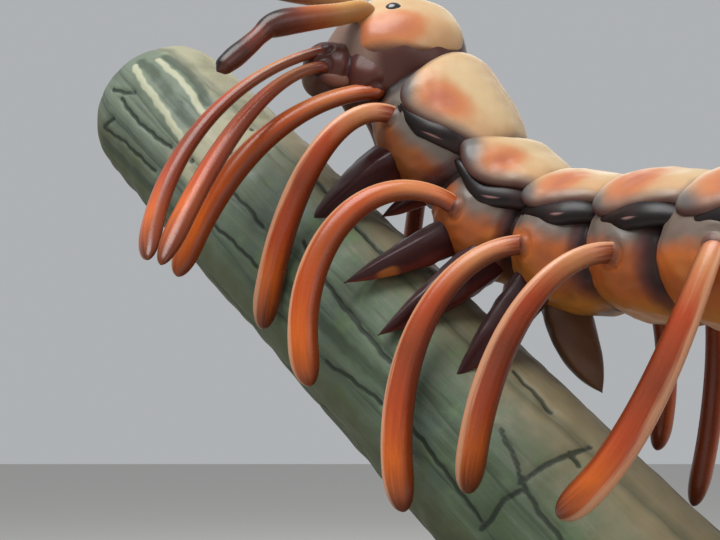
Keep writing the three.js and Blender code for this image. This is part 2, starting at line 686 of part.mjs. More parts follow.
function baseSolid() {
  const { length, width, corner, thick, bevel } = BASE;
  const outline = new THREE.Shape();
  const x = length / 2 - bevel;
  const y = width / 2 - bevel;
  outline.moveTo(-x + corner, -y);
  outline.lineTo(x - corner, -y).absarc(x - corner, -y + corner, corner, -Math.PI / 2, 0);
  outline.lineTo(x, y - corner).absarc(x - corner, y - corner, corner, 0, Math.PI / 2);
  outline.lineTo(-x + corner, y).absarc(-x + corner, y - corner, corner, Math.PI / 2, Math.PI);
  outline.lineTo(-x, -y + corner).absarc(-x + corner, -y + corner, corner, Math.PI, 1.5 * Math.PI);
  const plate = new THREE.ExtrudeGeometry(outline, {
    depth: thick - 2 * bevel,
    bevelThickness: bevel,
    bevelSize: bevel,
    bevelSegments: 1,
    curveSegments: 4,
  });
  plate.translate(0, 0, bevel);
  return toSolid(plate);
}

add('stand_base', baseSolid(), COLOURS.stand);
add('trunk', trunk, COLOURS.trunk);

// Every piece that sits in a socket of another: its solid, and the same moved out to cut the socket.
const seated = legs.map((leg) => ({
  name: leg.name,
  carriers: leg.carrier === 'neck' ? ['neck', 'head', 'torso_1'] : [leg.carrier],
  colour: COLOURS.leg,
  solid: legSolid(leg, 0).subtract(trunkClear),
  clear: legSolid(leg, SOCKET_GAP),
}));
for (const [side, sign] of [['left', 1], ['right', -1]]) {
  for (const [name, carriers, colour, make] of [
    ['eye', ['head'], COLOURS.eye, (extra) => eyeSolid(sign, extra)],
    ['antenna', ['head'], COLOURS.antenna, (extra) => hornSolid(ANTENNA[side], ANTENNA.widths, sign, extra)],
    ['claw', ['head', 'neck'], COLOURS.claw, (extra) => hornSolid(CLAW.line, CLAW.widths, sign, extra)],
  ]) seated.push({ name: `${name}_${side}`, carriers, colour, solid: make(0), clear: make(SOCKET_GAP) });
}
for (const rod of RODS) {
  seated.push({
    name: rod.name,
    carriers: [`torso_${Math.floor(rod.ring / RINGS_PER_LENGTH) + 1}`],
    colour: COLOURS.stand,
    solid: rodSolid(rod, 0),
    clear: rodSolid(rod, GAP),
  });
}

function withSockets(name, solid) {
  const carried = seated.filter(({ carriers }) => carriers.includes(name));
  return carried.reduce((rest, { clear }) => rest.subtract(clear), solid);
}

for (let first = 0; first < BODY.rings; first += RINGS_PER_LENGTH) {
  const last = first + RINGS_PER_LENGTH - 1;
  let solid = fleshSolid(first, last);
  for (let ring = first; ring <= last; ring += 1) {
    const frontAngle = ring === 0 ? PLATE.firstFrontAngle : PLATE.frontAngle;
    const from = plateStart(ring);
    const to = ring < last ? plateStart(ring + 1) : ringStarts[ring] + ringLengths[ring];
    solid = solid.add(plateSolid(from, to - from, frontAngle, plateSweep(ring)));
    for (const spine of SPINES.filter((s) => s.ring === ring)) solid = solid.add(spineSolid(spine));
    if (ring === POST.ring) solid = solid.add(postSolid());
  }
  const name = `torso_${first / RINGS_PER_LENGTH + 1}`;
  add(name, withSockets(name, solid.subtract(trunkClear)), COLOURS.body);
}
add('tail', tailSolid().add(plateSolid(bodyEnd, TAIL.plateLength, PLATE.frontAngle, 0)), COLOURS.body);
const neck = neckSolid(0).subtract(behindFace(0));
add('neck', withSockets('neck', neck), COLOURS.body);
const head = headSolid().subtract(neckSolid(SOCKET_GAP)).subtract(behindFace(HEAD.back));
add('head', withSockets('head', head), COLOURS.body);
for (const { name, solid, colour } of seated) add(name, solid, colour);

export default group;
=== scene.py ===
import bpy
import numpy as np
from bpy.props import FloatProperty, FloatVectorProperty, PointerProperty
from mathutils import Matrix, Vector


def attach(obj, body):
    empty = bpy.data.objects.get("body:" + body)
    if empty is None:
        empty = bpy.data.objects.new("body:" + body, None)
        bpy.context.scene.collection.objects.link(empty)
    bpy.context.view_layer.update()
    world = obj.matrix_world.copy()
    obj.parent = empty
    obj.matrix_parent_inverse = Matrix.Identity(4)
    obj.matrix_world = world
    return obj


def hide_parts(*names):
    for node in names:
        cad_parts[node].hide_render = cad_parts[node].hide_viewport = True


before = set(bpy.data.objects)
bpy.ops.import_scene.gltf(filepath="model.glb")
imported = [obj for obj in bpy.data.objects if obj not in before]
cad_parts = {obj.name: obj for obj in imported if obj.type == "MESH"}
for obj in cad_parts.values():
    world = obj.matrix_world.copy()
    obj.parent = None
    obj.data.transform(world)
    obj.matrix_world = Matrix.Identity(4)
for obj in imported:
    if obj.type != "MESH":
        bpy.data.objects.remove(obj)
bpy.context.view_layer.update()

bl_info = {
    "name": "Giant centipede sculpture",
    "version": (1, 0, 0),
    "blender": (4, 5, 0),
    "location": "3D View > Sidebar > Centipede",
    "description": "Dresses a painted centipede sculpture that climbs along a trunk",
    "category": "Add Mesh",
}

TORSO = [f"torso_{n}" for n in range(1, 7)]
TONE_STEP = .38197  # of the range, from one leg's tone to the next one's

# Sizes in metres and angles in degrees, in the frame of the solids: +Z up, the origin under the base.

BODY_AXIS = [
    (-1.62, .21, 3.79), (-1.42, .15, 3.45), (-1.12, .06, 2.96), (-.72, -.25, 2.70), (-.37, -.70, 2.58),
    (-.11, -1.20, 2.46), (.30, -1.60, 2.37), (.80, -1.84, 2.25), (1.35, -1.87, 2.08), (1.86, -1.68, 1.86),
    (2.25, -1.32, 1.61), (2.45, -.86, 1.34), (2.45, -.38, 1.06), (2.32, .08, .81), (2.15, .45, .64),
]
RINGS = 12
SHRINK_FROM, SHRINK_TO, LAST_SHRINK = 6, 11, .8  # rings over which the pitch shrinks, and the last one's
ROLL, ROLL_FROM, ROLL_TO = 30, .25, 1.5  # turn of the front end about its length, and where it runs out
TAPER_FROM, TAPER_BEND, TAIL_SIZE = 4.1, 1.2, .5  # distance, power, and the section's share at the end
TAIL_LENGTH, TAIL_PLATE, TAIL_PLATE_BEHIND, TAIL_SHOULDER = .56, .4, .05, .25
COLLAR = [(0, .83), (.045, .74), (.13, .68), (.22, .5), (.29, .22), (.31, .02)]  # ahead of the body, section

PLATE_FRONT, PLATE_FIRST, PLATE_REAR = 77, 79, 56  # where a plate's flap ends, from the ridge
PLATE_BEHIND = (0, -.05, .095, .06, .09)  # from a ring's front back to its plate's, the last for the rest
PLATE_SWEEP = (-.06, .115, .12, .02, 0)  # how far forward of that its flaps reach
FRONT_RISE, REAR_RISE = .11, .03  # of the section, how far a plate stands over the flesh
END_ROLL, SIDE_ROLL = (.22, .11), (.18, .095)  # how much of a plate rolls down at its edges, and how deep
UNDERSIDE = .8  # of the section, where plates end inside the flesh
LOBE_OVER, LOBE_UNDER = 9, (4, 19)  # from a flap's edge, up and down to the edges of the lobe under it
LOBE_THICK = (.09, .03)  # at its front, and more at its rear
BEND_PLATE, BEND_DOME = 1, 2.1  # the plate in the bend, and how much more it is domed
SMOOTHINGS = 50  # times that a plate's rows are averaged with their neighbours, which rounds it over the bend

# ring, place along it from -1 to 1, angle from the ridge, length, lean to the head, half width at the root
SPINES = [
    (0, -.04, 138, .64, -.08, .22), (0, .7, 153, .23, 0, .09), (1, -.28, 133, .69, .1, .15),
    (1, .44, 138, .74, .13, .175), (2, -.5, 150, .68, .085, .163), (2, -.42, 190, .41, -.66, .18),
    (0, -.1, 222, .33, .1, .115), (1, -.3, 226, .34, .1, .12), (1, .4, 222, .34, 0, .11),
]
TAN_SPINE, SPOTTED_SPINES = 5, (2, 3)  # the one that is painted tan, and those with an orange spot
SPINE_FULLNESS, TAN_FULLNESS = 2.5, 5  # more keeps a spine wide nearer to its tip
SPINE_THICKNESS, SPINE_ROOT = .85, .55  # of its width, and of the section
SPINE_CORNERS = 1.35  # power of its diamond section, 1 for sharp corners and 2 for none
POST = (1, .2, .095)  # ring, place and radius of the short post that stands on the trunk

# Legs: place, angle, sweep, reach, drop, from, to, lean
NECK_LEGS = {
    "left": [
        (.99, 63, 102, 1.015, 1.165, -10, 107, -.94), (.99, 104, 98, .95, 2.99, -2, 58, -.89),
        (.45, 130, 102, 1.33, 1.96, -2, 66, -.04),
    ],
    "right": [
        (.91, 98, -32, .7, .4, 37, 95, .05), (.63, 106, -32, .7, .4, 37, 95, .065),
        (.37, 123, -42, .78, .44, 29, 89, -.05),
    ],
}
NECK_LEG_SIZES = (.75, .78, .95)  # of a full leg
LEFT_LEGS = [
    (-.48, 88, 54, .58, 1.25, 7, 91, .49), (-.35, 96, 60, .6, .82, 28, 112, 0),
    (-.4, 102, 50, .71, 1.09, 0, 108, 0), (.16, 98, 16, .6, .98, 3, 102, .5),
    (.1, 91, -19, .1, .64, 0, 148, .76),
]
RIGHT_LEGS = [
    (-.3, 128, 40, .48, 1.91, 19, 77, .05), (0, 112, 40, .44, 1.61, 0, 86, .14),
    (0, 98, 0, .56, .84, 8, 109, .19), (-.5, 98, 20, .6, 1.04, 1, 107, .29),
]
HIND_LEGS = {"left": (0, 98, 8, .56, 1.12, 12, 104, 0), "right": (0, 98, 4, .3, 1.12, 14, 100, 0)}
HIND_SWEEP = -5  # added for each ring behind the ones that the view shows
LAST_LEGS = (.3, 96, -62, .9, 1.3, 8, 88, 0)
FLOOR_CLEAR = .17  # least height of a tip over the base
LEG_SUNK = .09  # how far a root goes into the flesh
LEG_ROOT, LEG_WIDEST = .66, .8  # the root's share of the full width, and where along the leg that is reached
LEG_THICKNESS, LEG_KEEL = .74, .08  # of its width, and how far the outer edge is lifted
LEG_TIP, LEG_KNEE = .89, 36  # where the tip starts to round, and the number of the knee's station

# Relief of the skin: ridge and groove round a leg's root, swell of the flank, and folds
RIDGE_WIDTH, GROOVE_AT, GROOVE_WIDTH = 1.9, 1.12, .22  # in half widths of the root
BODY_RIDGE, BODY_GROOVE, NECK_RIDGE, NECK_GROOVE = .032, .022, .03, .016
FLANK_SWELL, FLANK_AT, FLANK_WIDTH, SKIN_FOLD, NECK_FOLD = .035, 115, 42, .005, .03
NECK_FOLDS = [(.72, .045), (.22, .05)]  # place and width
NECK_NOSE = .12  # reach of the rounded end in the head

NECK_PATH = [(-1.7, .23, 3.88), (-1.93, .15, 3.86), (-2.25, .1, 3.9)]
NECK_WIDTHS = (.285, .283, .185)
NECK_HEIGHTS = (.255, .245, .165)
HEAD_CENTRE = np.array([-1.77, .25, 4.03])
HEAD_FORWARD = (-.97, -.1, -.12)
HEAD_ROLL = 32
HEAD_HALF = (.465, .45, .385)  # length, width, height
SHIELD_ANGLE, SHIELD_FROM, SHIELD_TO = 72, -.86, .74  # from the ridge, and from and to along the skull
SHIELD_RISE, SHIELD_ROLL, SHIELD_DIVE = 1.062, (.16, .05), .09  # of the skull: top, rear edge, other edges

# Places on the head: forward, left and up from its middle
EYE = (.035, .185, .345)
EYE_HALF = (.058, .05, .048)
ANTENNA = {
    "left": [
        (.175, .11, .29), (.21, .155, .346), (.4, .25, .35), (.62, .33, .348), (.76, .385, .341),
        (.83, .42, .325), (.87, .45, .3), (.95, .515, .25), (1.04, .59, .2), (1.115, .65, .16),
        (1.15, .675, .142),
    ],
    "right": [
        (.175, .11, .29), (.21, .155, .346), (.4, .25, .4), (.62, .33, .45), (.76, .385, .49), (.83, .42, .5),
        (.87, .45, .5), (.95, .515, .49), (1.04, .59, .475), (1.115, .65, .45), (1.14, .665, .44),
    ],
}
ANTENNA_WIDTHS = (.058, .064, .068, .076, .082, .066, .052, .058, .064, .052, .022)
CLAW = [(.25, .205, -.08), (.34, .275, -.055), (.43, .315, -.03), (.505, .31, -.008), (.558, .3, .005)]
CLAW_WIDTHS = (.058, .06, .048, .03, .008)
JAWS = [((.43, .09, -.11), .105), ((.43, -.09, -.11), .105), ((.395, 0, .02), .15)]

TRUNK_UPPER = np.array([-3.385, 1.15, 3.93])
TRUNK_LOWER = np.array([-.8, -.13, 1.05])
TRUNK_UPPER_SIZE = .95  # of the radius, at the upper end
CROWN, CROWN_FLATNESS = .45, .75  # reach of the round upper end, and its power
TRUNK_GAP = .0005  # between its foot and the base
# Marks on the trunk as lines of (place along it, angle from its top)
STRIPES = [
    [(4.23, 68), (4.09, 72), (3.89, 74), (3.71, 76), (3.54, 79), (3.4, 81)],
    [(4.14, 53), (3.97, 52), (3.8, 52), (3.65, 55), (3.5, 58)],
]
SHADES = [  # dark strokes beside the stripes and along the underside
    [(4.25, 62), (4.05, 62), (3.81, 65), (3.5, 69)], [(4.14, 46), (3.98, 43), (3.79, 43), (3.58, 50)],
    [(2.3, 96), (1.6, 95), (1.2, 92)], [(4.1, 131), (3.6, 128), (3.1, 124)],
]
CRACKS = [
    [(4.09, 92), (3.91, 94), (3.7, 93), (3.48, 90)], [(4.14, 121), (3.91, 115), (3.67, 113), (3.51, 112)],
    [(4.14, 121), (4.07, 108)], [(4.22, 92), (4.09, 87), (4.04, 82)], [(2.89, 81), (2.7, 80), (2.54, 82)],
    [(2.87, 106), (2.6, 103), (2.39, 102)], [(2.26, 70), (1.89, 78), (1.66, 80), (1.31, 82)],
    [(1.63, 112), (1.4, 106), (1.19, 102)], [(.98, 98), (.78, 101), (.55, 104), (.35, 106)],
    [(.6, 64), (.43, 70), (.28, 77), (.11, 80), (-.2, 83)], [(.82, 31), (.51, 34)], [(.28, 46), (.2, 47)],
    [(.24, 33), (.28, 49), (.31, 60), (.33, 76)], [(.3, 78), (.33, 88), (.31, 101), (.32, 110)],
    [(3.3, 140), (2.7, 146), (2.2, 143)], [(1.9, 150), (1.2, 146)], [(2.6, 30), (2.1, 36), (1.8, 35)],
]
KNOTS = [(3.29, 86), (3.1, 82), (3.11, 63), (3.22, 38)]
STRIPE_WIDTH, SHADE_WIDTH, CRACK_WIDTH, KNOT_WIDTH = .034, .055, .022, .028
STRIPE_HIGH, SHADE_DEEP, CRACK_DEEP, KNOT_DEEP = .008, .008, .013, .02  # relief
STRIP_LOW, STRIP_SWELL, SEAM_WANDER = .972, .024, 3.5  # of the radius, and in degrees
SEAMS = (-8, 36, 82, 110, 152, 196, 238, 280, 318)  # angles of the long cracks round the trunk, from its top

CAMERA = {"place": (-2.0, -5.6, 1.6), "rise": 10.15, "lens": 47.5, "sensor": 36}
SKY, SKY_STRENGTH = "#d5d8db", .64
FLOOR, FLOOR_HALF = "#cfcdc8", 60
LAMPS = [  # name, place, aim, size, power
    ("key", (-4, -5, 11), (-1, -.5, 2.5), 7, 1050), ("fill", (5, -8, 5), (0, -1, 2), 6, 120),
    ("rim", (0, 8, 9), (-.5, 0, 3), 6, 120),
]


# Each paint's name, where it is and its sRGB colour
PAINTS = {
    "plate_cream": ("Top of the back plates", "#cfb389"),
    "plate_tan": ("Clouds and sides of the plates", "#c08a5c"),
    "plate_blush": ("Orange low on the plates", "#c06a38"),
    "plate_rose": ("Heart of the blush", "#a65340"),
    "plate_grey": ("Rim of the plates", "#75665e"),
    "plate_slate": ("Front corners of the plates", "#57595a"),
    "flank_orange": ("Flanks", "#bc622a"),
    "flank_ochre": ("Lower flanks", "#c58033"),
    "flank_brown": ("First rings and clouds on the flanks", "#6b3f24"),
    # Painted shade: maroon in the creases of the flanks and round the leg roots.
    "crease_shade_maroon": ("Creases of the flanks", "#4a2023"),
    "shoulder_grey": ("Under the flaps", "#63625c"),
    # Partly painted shade: the belly is darker under the body.
    "belly_brown_and_shade": ("Belly", "#5a3b22"),
    # Painted shade: black in the deepest creases, round the leg roots and where the neck meets the body.
    "crease_shade_black": ("Deepest creases", "#1f1113"),
    # Dark maroon, partly painted shade on the throat and under the head; also the painted shade at the lower
    # edge of each plate's flap.
    "neck_maroon_and_shade": ("Neck and the lower head", "#4b2019"),
    "cheek_grey": ("Front of the head, under the shield", "#8d7366"),
    # Near black, partly painted shade under the flaps.
    "lobe_black_and_shade": ("Lobes under the flaps", "#170e0e"),
    "lobe_maroon": ("Clouds on the lobes", "#2e1616"),
    # A painted highlight: a pale glint low on each lobe.
    "lobe_glint": ("Pale stroke on the lobes", "#9a736d"),
    "leg_salmon": ("Near the roots of the legs", "#c9805a"),
    "leg_tan": ("Behind the roots", "#c98655"),
    "leg_red": ("Legs before and behind their middle", "#ad431c"),
    "leg_brown": ("Roots and middle of the legs", "#85381a"),
    "leg_orange": ("Lower legs", "#cc5f18"),
    "leg_tip": ("Tips of the legs", "#5c2811"),
    "leg_shadow": ("Inner side of the legs", "#64260f"),
    # Partly a painted highlight along the outer edge.
    "leg_rim_and_highlight": ("Outer edge of the legs", "#e0a882"),
    "claw_brown": ("Roots of the claws", "#7d5645"),
    "spine_maroon": ("Belly spines", "#361213"),
    # Partly a painted reflection of the sky on the upward faces.
    "spine_grey_and_sheen": ("Upper edges of the spines", "#54484a"),
    "spine_red": ("Underside of the spines", "#7c3526"),
    "spine_orange": ("Spots on the spines", "#b5692f"),
    "spine_tan": ("The hind spine", "#6b4a33"),
    "feeler_ochre": ("Roots of the antennae", "#c79250"),
    "feeler_orange": ("Antennae", "#b4602c"),
    "feeler_maroon": ("Antennae and claws", "#6a2f20"),
    "feeler_black": ("Tips and joints", "#1d120e"),
    "eye_black": ("Eyes", "#0c0a0a"),
    "trunk_green": ("Sides of the trunk", "#5d6e57"),
    "trunk_leaf": ("Brighter green patches on the sides", "#6f8a5c"),
    "trunk_blue": ("Clouds on the sides", "#66786e"),
    "trunk_grey": ("Upper trunk", "#737d6d"),
    "trunk_moss": ("Lower trunk", "#4c5c35"),
    "trunk_tan": ("Top of the trunk", "#8f8163"),
    # Olive and brown towards the underside, partly painted shade.
    "trunk_olive_and_shade": ("Underside of the trunk", "#4f5433"),
    "trunk_brown_and_shade": ("Lowest side of the trunk", "#3f3a28"),
    "trunk_cream": ("Pale patches near the crown", "#a8a488"),
    "trunk_stripe": ("Pale stripes", "#b3b497"),
    # Dark strokes and bands; beside the long cracks it is painted shade.
    "trunk_shade": ("Beside the cracks", "#3d4a3a"),
    "trunk_crack": ("Cracks and knots", "#1f2a1d"),
    "stand_grey": ("Base", "#8d8a84"),
    "stand_worn": ("Worn patches of the base", "#7d7973"),
    "rod_grey": ("Rods", "#3c3d3f"),
}

# Patterns of the paints, in metres
NOISES = {"big": (.4, 3), "cloud": (.12, 4), "grain": (.02, 3)}  # wavelength and detail
LEG_STROKES = 7  # to a unit of the leg's marks, which makes a stroke about 13 mm wide and 0.25 m long
BARK_STROKES = (1.4, 34, 1)  # to a metre along and to half the girth, so about 0.7 m long and 55 mm wide


# Numbers and shapes


def mix(a, b, k):
    """From a to b by the share k."""
    return a + (b - a) * k


def smooth(x, low=0, high=1):
    """The cubic step 3t^2 - 2t^3, with t the place of x between low and high."""
    t = np.clip((x - low) / (high - low), 0, 1)
    return t * t * (3 - 2 * t)


def unit(v):
    """Directions of vectors: each over its length."""
    v = np.asarray(v, float)
    return v / np.maximum(np.linalg.norm(v, axis=-1, keepdims=True), 1e-9)


def round_turn(count):
    """Evenly spaced angles round a full turn."""
    return np.linspace(0, 2 * np.pi, count, endpoint=False)


def bell(x, width):
    """Gauss's bell: e to the minus square of x over width."""
    return np.exp(-((x / width) ** 2))


def rolled(x, width):
    """How far an edge has rolled down, as a quarter round: one minus the root of one minus the square."""
    return 1 - np.sqrt(1 - np.clip((x - 1 + width) / width, 0, 1) ** 2)


def waves(p, size, seed):
    """A soft random field, mostly from -1 to 1: a quarter of the sum of twelve sines of random directions,
    with wavelengths near size."""
    rng = np.random.default_rng(seed)
    directions = unit(rng.normal(size=(12, 3))) * rng.uniform(.7, 1.5, (12, 1)) * 2 * np.pi / size
    return np.sin(p @ directions.T + rng.uniform(0, 2 * np.pi, 12)).sum(-1) / 4


class Curve:
    """A centripetal Catmull-Rom curve, read by its length: each span is a cubic whose end slopes are weighed
    with the square roots of the chords."""

    def __init__(self, points, steps=80):
        p = np.asarray(points, float)
        p = np.vstack([2 * p[0] - p[1], p, 2 * p[-1] - p[-2]])
        root = np.sqrt(np.linalg.norm(np.diff(p, axis=0), axis=1))[:, None]
        a, b, c = root[:-2], root[1:-1], root[2:]
        x0, x1, x2, x3 = p[:-3], p[1:-2], p[2:-1], p[3:]
        slope1 = ((x1 - x0) / a - (x2 - x0) / (a + b) + (x2 - x1) / b) * b
        slope2 = ((x2 - x1) / b - (x3 - x1) / (b + c) + (x3 - x2) / c) * b
        t = np.linspace(0, 1, steps, endpoint=False)[:, None, None]
        cubic = (x1 + slope1 * t + (-3 * x1 + 3 * x2 - 2 * slope1 - slope2) * t ** 2
                 + (2 * x1 - 2 * x2 + slope1 + slope2) * t ** 3)
        self.points = np.vstack([cubic.transpose(1, 0, 2).reshape(-1, 3), p[-2]])
        step = np.linalg.norm(np.diff(self.points, axis=0), axis=1)
        self.along = np.concatenate([[0], np.cumsum(step)])
        self.length = self.along[-1]
        self.slopes = unit(np.gradient(self.points, self.along, axis=0))

    def at(self, distance):
        return np.stack([np.interp(distance, self.along, self.points[:, i]) for i in range(3)], -1)

    def slope(self, distance):
        return unit(np.stack([np.interp(distance, self.along, self.slopes[:, i]) for i in range(3)], -1))


def level_frame(forward, roll):
    """Up and left of a level frame about forward, turned about forward by roll."""
    up = np.array([0, 0, 1.]) - forward * forward[..., 2:3]
    up = unit(up)
    turn = -np.radians(roll)[..., None]
    up = up * np.cos(turn) + np.cross(forward, up) * np.sin(turn)
    return up, np.cross(up, forward)


body_axis = Curve(BODY_AXIS)


def sizes():
    return bpy.context.scene.centipede_sizes


def ring_table():
    """Where each ring starts and how long it is."""
    s = sizes()
    ring = np.arange(RINGS)
    shrink = mix(1, LAST_SHRINK, smooth(ring, SHRINK_FROM, SHRINK_TO))
    lengths = np.where(ring == 0, s.first_ring, s.ring_length * shrink)
    return np.concatenate([[0], np.cumsum(lengths)[:-1]]), lengths


def ring_place(ring, place):
    """How far along the body a place in a ring is, which runs from -1 to 1."""
    starts, lengths = ring_table()
    return starts[ring] + lengths[ring] * (1 + place) / 2


def body_frame(distance):
    """Place, forward, up and left on the body's axis; the roll runs out behind the first rings."""
    distance = np.asarray(distance, float)
    inside = np.clip(distance, 0, body_axis.length)
    forward = -body_axis.slope(inside)
    up, left = level_frame(forward, ROLL * (1 - smooth(distance, ROLL_FROM, ROLL_TO)))
    at = body_axis.at(inside) - forward * (distance - inside)[..., None]
    return at, forward, up, left


def size_at(distance):
    """The size of the body's section, which tapers by a power of the place behind where the taper starts."""
    taper = np.clip((distance - TAPER_FROM) / (body_axis.length - TAPER_FROM), 0, 1)
    return mix(1, TAIL_SIZE, taper ** TAPER_BEND)


def body_point(distance, angle, swell):
    """A point of the body's oval section: up times the cosine and left times the sine of the angle."""
    s = sizes()
    at, _, up, left = body_frame(distance)
    size = size_at(np.asarray(distance, float)) * swell
    high = np.cos(angle) * s.body_half_height * size
    wide = np.sin(angle) * s.body_half_width * size
    return at + up * high[..., None] + left * wide[..., None]


# Meshes and materials


def put_mesh(name, body, material, slot, *nodes):
    """A smooth piece on the root body from points, faces and marks, in place of nodes; its slot is not used.
    Its faces are turned outwards by the sign of its volume."""
    points, faces, marks = body
    a, b, c, d = (points[faces[:, i]] for i in range(4))
    if np.einsum("ij,ij", a, np.cross(b, c)) + np.einsum("ij,ij", a, np.cross(c, d)) < 0:
        faces = faces[:, ::-1]
    mesh = bpy.data.meshes.new(name)
    mesh.from_pydata(points.tolist(), [], [tuple(dict.fromkeys(face)) for face in faces.tolist()])
    for mark, values in marks.items():
        mesh.attributes.new(mark, "FLOAT", "POINT").data.foreach_set("value", values.astype(np.float32))
    mesh.shade_smooth()
    mesh.materials.append(material)
    piece = bpy.data.objects.new(name, mesh)
    bpy.context.collection.objects.link(piece)
    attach(piece, "root")
    if nodes:
        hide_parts(*nodes)


def tube(rings, marks):
    """A closed body through rows of rings. Each end is closed with a fan round its middle."""
    rows, columns, _ = rings.shape
    points = np.vstack([rings.reshape(-1, 3), rings[0].mean(0), rings[-1].mean(0)])
    i, j = np.meshgrid(np.arange(rows - 1), np.arange(columns), indexing="ij")
    k = (j + 1) % columns
    side = np.stack([i * columns + j, i * columns + k, (i + 1) * columns + k, (i + 1) * columns + j], -1)
    j = np.arange(columns)
    k = (j + 1) % columns
    first, last, end = rows * columns, rows * columns + 1, (rows - 1) * columns
    front = np.stack([np.full(columns, first), k, j, j], -1)
    back = np.stack([np.full(columns, last), end + j, end + k, end + k], -1)
    full = {}
    for mark, values in marks.items():
        values = np.broadcast_to(values, (rows, columns))
        full[mark] = np.concatenate([values.ravel(), [values[0].mean(), values[-1].mean()]])
    return points, np.vstack([side.reshape(-1, 4), front, back]), full


def slab(outer, inner, marks):
    """A closed slab between two grids of the same shape."""
    rows, columns, _ = outer.shape
    under = rows * columns
    points = np.vstack([outer.reshape(-1, 3), inner.reshape(-1, 3)])
    i, j = (g.ravel() for g in np.meshgrid(np.arange(rows - 1), np.arange(columns - 1), indexing="ij"))
    corner = i * columns + j
    quad = np.stack([corner, corner + 1, corner + columns + 1, corner + columns], -1)
    loop = np.concatenate([np.arange(columns), np.arange(1, rows) * columns + columns - 1,
                           under - 2 - np.arange(columns - 1), np.arange(rows - 2, -1, -1) * columns])
    rim = np.stack([loop[:-1], loop[:-1] + under, loop[1:] + under, loop[1:]], -1)
    full = {m: np.tile(np.broadcast_to(v, (rows, columns)).ravel(), 2) for m, v in marks.items()}
    return points, np.vstack([quad, quad[:, ::-1] + under, rim]), full


def join(parts):
    """Several bodies as one list of points, faces and marks."""
    points, faces, marks, count = [], [], {}, 0
    for p, f, m in parts:
        points.append(p)
        faces.append(f + count)
        for mark, values in m.items():
            marks.setdefault(mark, []).append(values)
        count += len(p)
    return np.vstack(points), np.vstack(faces), {k: np.concatenate(v) for k, v in marks.items()}


def linear(code):
    """An sRGB hex colour as linear RGBA."""
    rgb = [int(code[i:i + 2], 16) / 255 for i in (1, 3, 5)]
    return tuple(c / 12.92 if c <= .04045 else ((c + .055) / 1.055) ** 2.4 for c in rgb) + (1.,)


def add_node(tree, kind, links=(), **settings):
    """Adds a node. A setting named in_NAME or in_0 sets an input, ramp sets the stops and paints of a colour
    ramp, and any other sets a property. Each link is an output and the input of this node that it goes to."""
    node = tree.nodes.new(kind)
    for key, value in settings.items():
        if key == "ramp":
            elements = node.color_ramp.elements
            elements.remove(elements[-1])
            for n, (position, colour) in enumerate(value):
                element = elements[0] if n == 0 else elements.new(position)
                element.position = position
                element.color = paint(colour)
        elif key.startswith("in_"):
            index = key[3:]
            socket = node.inputs[int(index) if index.isdigit() else index.replace("_", " ")]
            socket.default_value = value
        else:
            setattr(node, key, value)
    for output, index in links:
        tree.links.new(output, node.inputs[index])
    return node


def new_material(name):
    """A material with an empty node tree."""
    material = bpy.data.materials.new(name)
    material.use_nodes = True
    material.node_tree.nodes.clear()
    return material, material.node_tree


def paint(name):
    """The user's colour of a paint."""
    return tuple(getattr(bpy.context.scene.centipede_paints, name))


def source(tree, name):
    """The output of a mark that the mesh carries, or of a named noise on Object coordinates. Its node is
    added the first time."""
    if name not in tree.nodes:
        if name in NOISES:
            size, detail = NOISES[name]
            place = add_node(tree, "ShaderNodeTexCoord").outputs["Object"]
            add_node(tree, "ShaderNodeTexNoise", [(place, 0)], name=name, in_Scale=1 / size, in_Detail=detail)
        else:
            add_node(tree, "ShaderNodeAttribute", name=name, attribute_name=name)
    return tree.nodes[name].outputs["Fac"]


def coats(tree, colour, layers, edge=None):
    """Paint sprayed over paint. A layer is a mark, the values where it starts and is full, its strength, its
    paint and how ragged its edge is: the edge is a smooth step, moved by the cloud or by another output."""
    if edge is None:
        edge = source(tree, "cloud")
    for mark, low, high, strength, over, ragged in layers:
        mark = source(tree, mark) if isinstance(mark, str) else mark
        moved = add_node(tree, "ShaderNodeMath", [(edge, 0), (mark, 2)],
                         operation="MULTIPLY_ADD", in_1=ragged)
        mask = add_node(tree, "ShaderNodeMapRange", [(moved.outputs[0], 0)], interpolation_type="SMOOTHSTEP",
                        in_1=low + ragged / 2, in_2=high + ragged / 2, in_3=0, in_4=strength)
        mixer = add_node(tree, "ShaderNodeMix", [(mask.outputs[0], 0)], data_type="RGBA", in_7=paint(over))
        if isinstance(colour, str):
            mixer.inputs[6].default_value = paint(colour)
        else:
            tree.links.new(colour, mixer.inputs[6])
        colour = mixer.outputs[2]
    return colour


def varnish(tree, colour, dull, gloss, peel, coat=.2, shine=.35):
    """A varnished paint: its roughness runs from gloss to dull with the cloud, and the grain stands up by
    peel, in metres."""
    rough = add_node(tree, "ShaderNodeMapRange", [(source(tree, "cloud"), 0)],
                     in_1=.3, in_2=.7, in_3=gloss, in_4=dull)
    bump = add_node(tree, "ShaderNodeBump", [(source(tree, "grain"), "Height")],
                    in_Strength=1, in_Distance=peel)
    shader = add_node(tree, "ShaderNodeBsdfPrincipled",
                      [(colour, "Base Color"), (rough.outputs[0], "Roughness"), (bump.outputs[0], "Normal")],
                      in_Coat_Weight=coat, in_Coat_Roughness=.28, in_Specular_IOR_Level=shine)
    add_node(tree, "ShaderNodeOutputMaterial", [(shader.outputs[0], 0)])


def sprayed(name, base, layers, **finish):
    """A varnished material of sprayed coats."""
    material, tree = new_material(name)
    varnish(tree, coats(tree, base, layers), **finish)
    return material


def along_ramp(tree, noise, shift, paints):
    """Paints that follow each other along a piece. The place along it is moved both ways by half the shift
    with the noise."""
    moved = add_node(tree, "ShaderNodeMath", [(noise, 0), (source(tree, "along"), 2)],
                     operation="MULTIPLY_ADD", in_1=shift)
    moved = add_node(tree, "ShaderNodeMath", [(moved.outputs[0], 0)], operation="SUBTRACT", in_1=shift / 2)
    return add_node(tree, "ShaderNodeValToRGB", [(moved.outputs[0], 0)], ramp=paints).outputs[0]


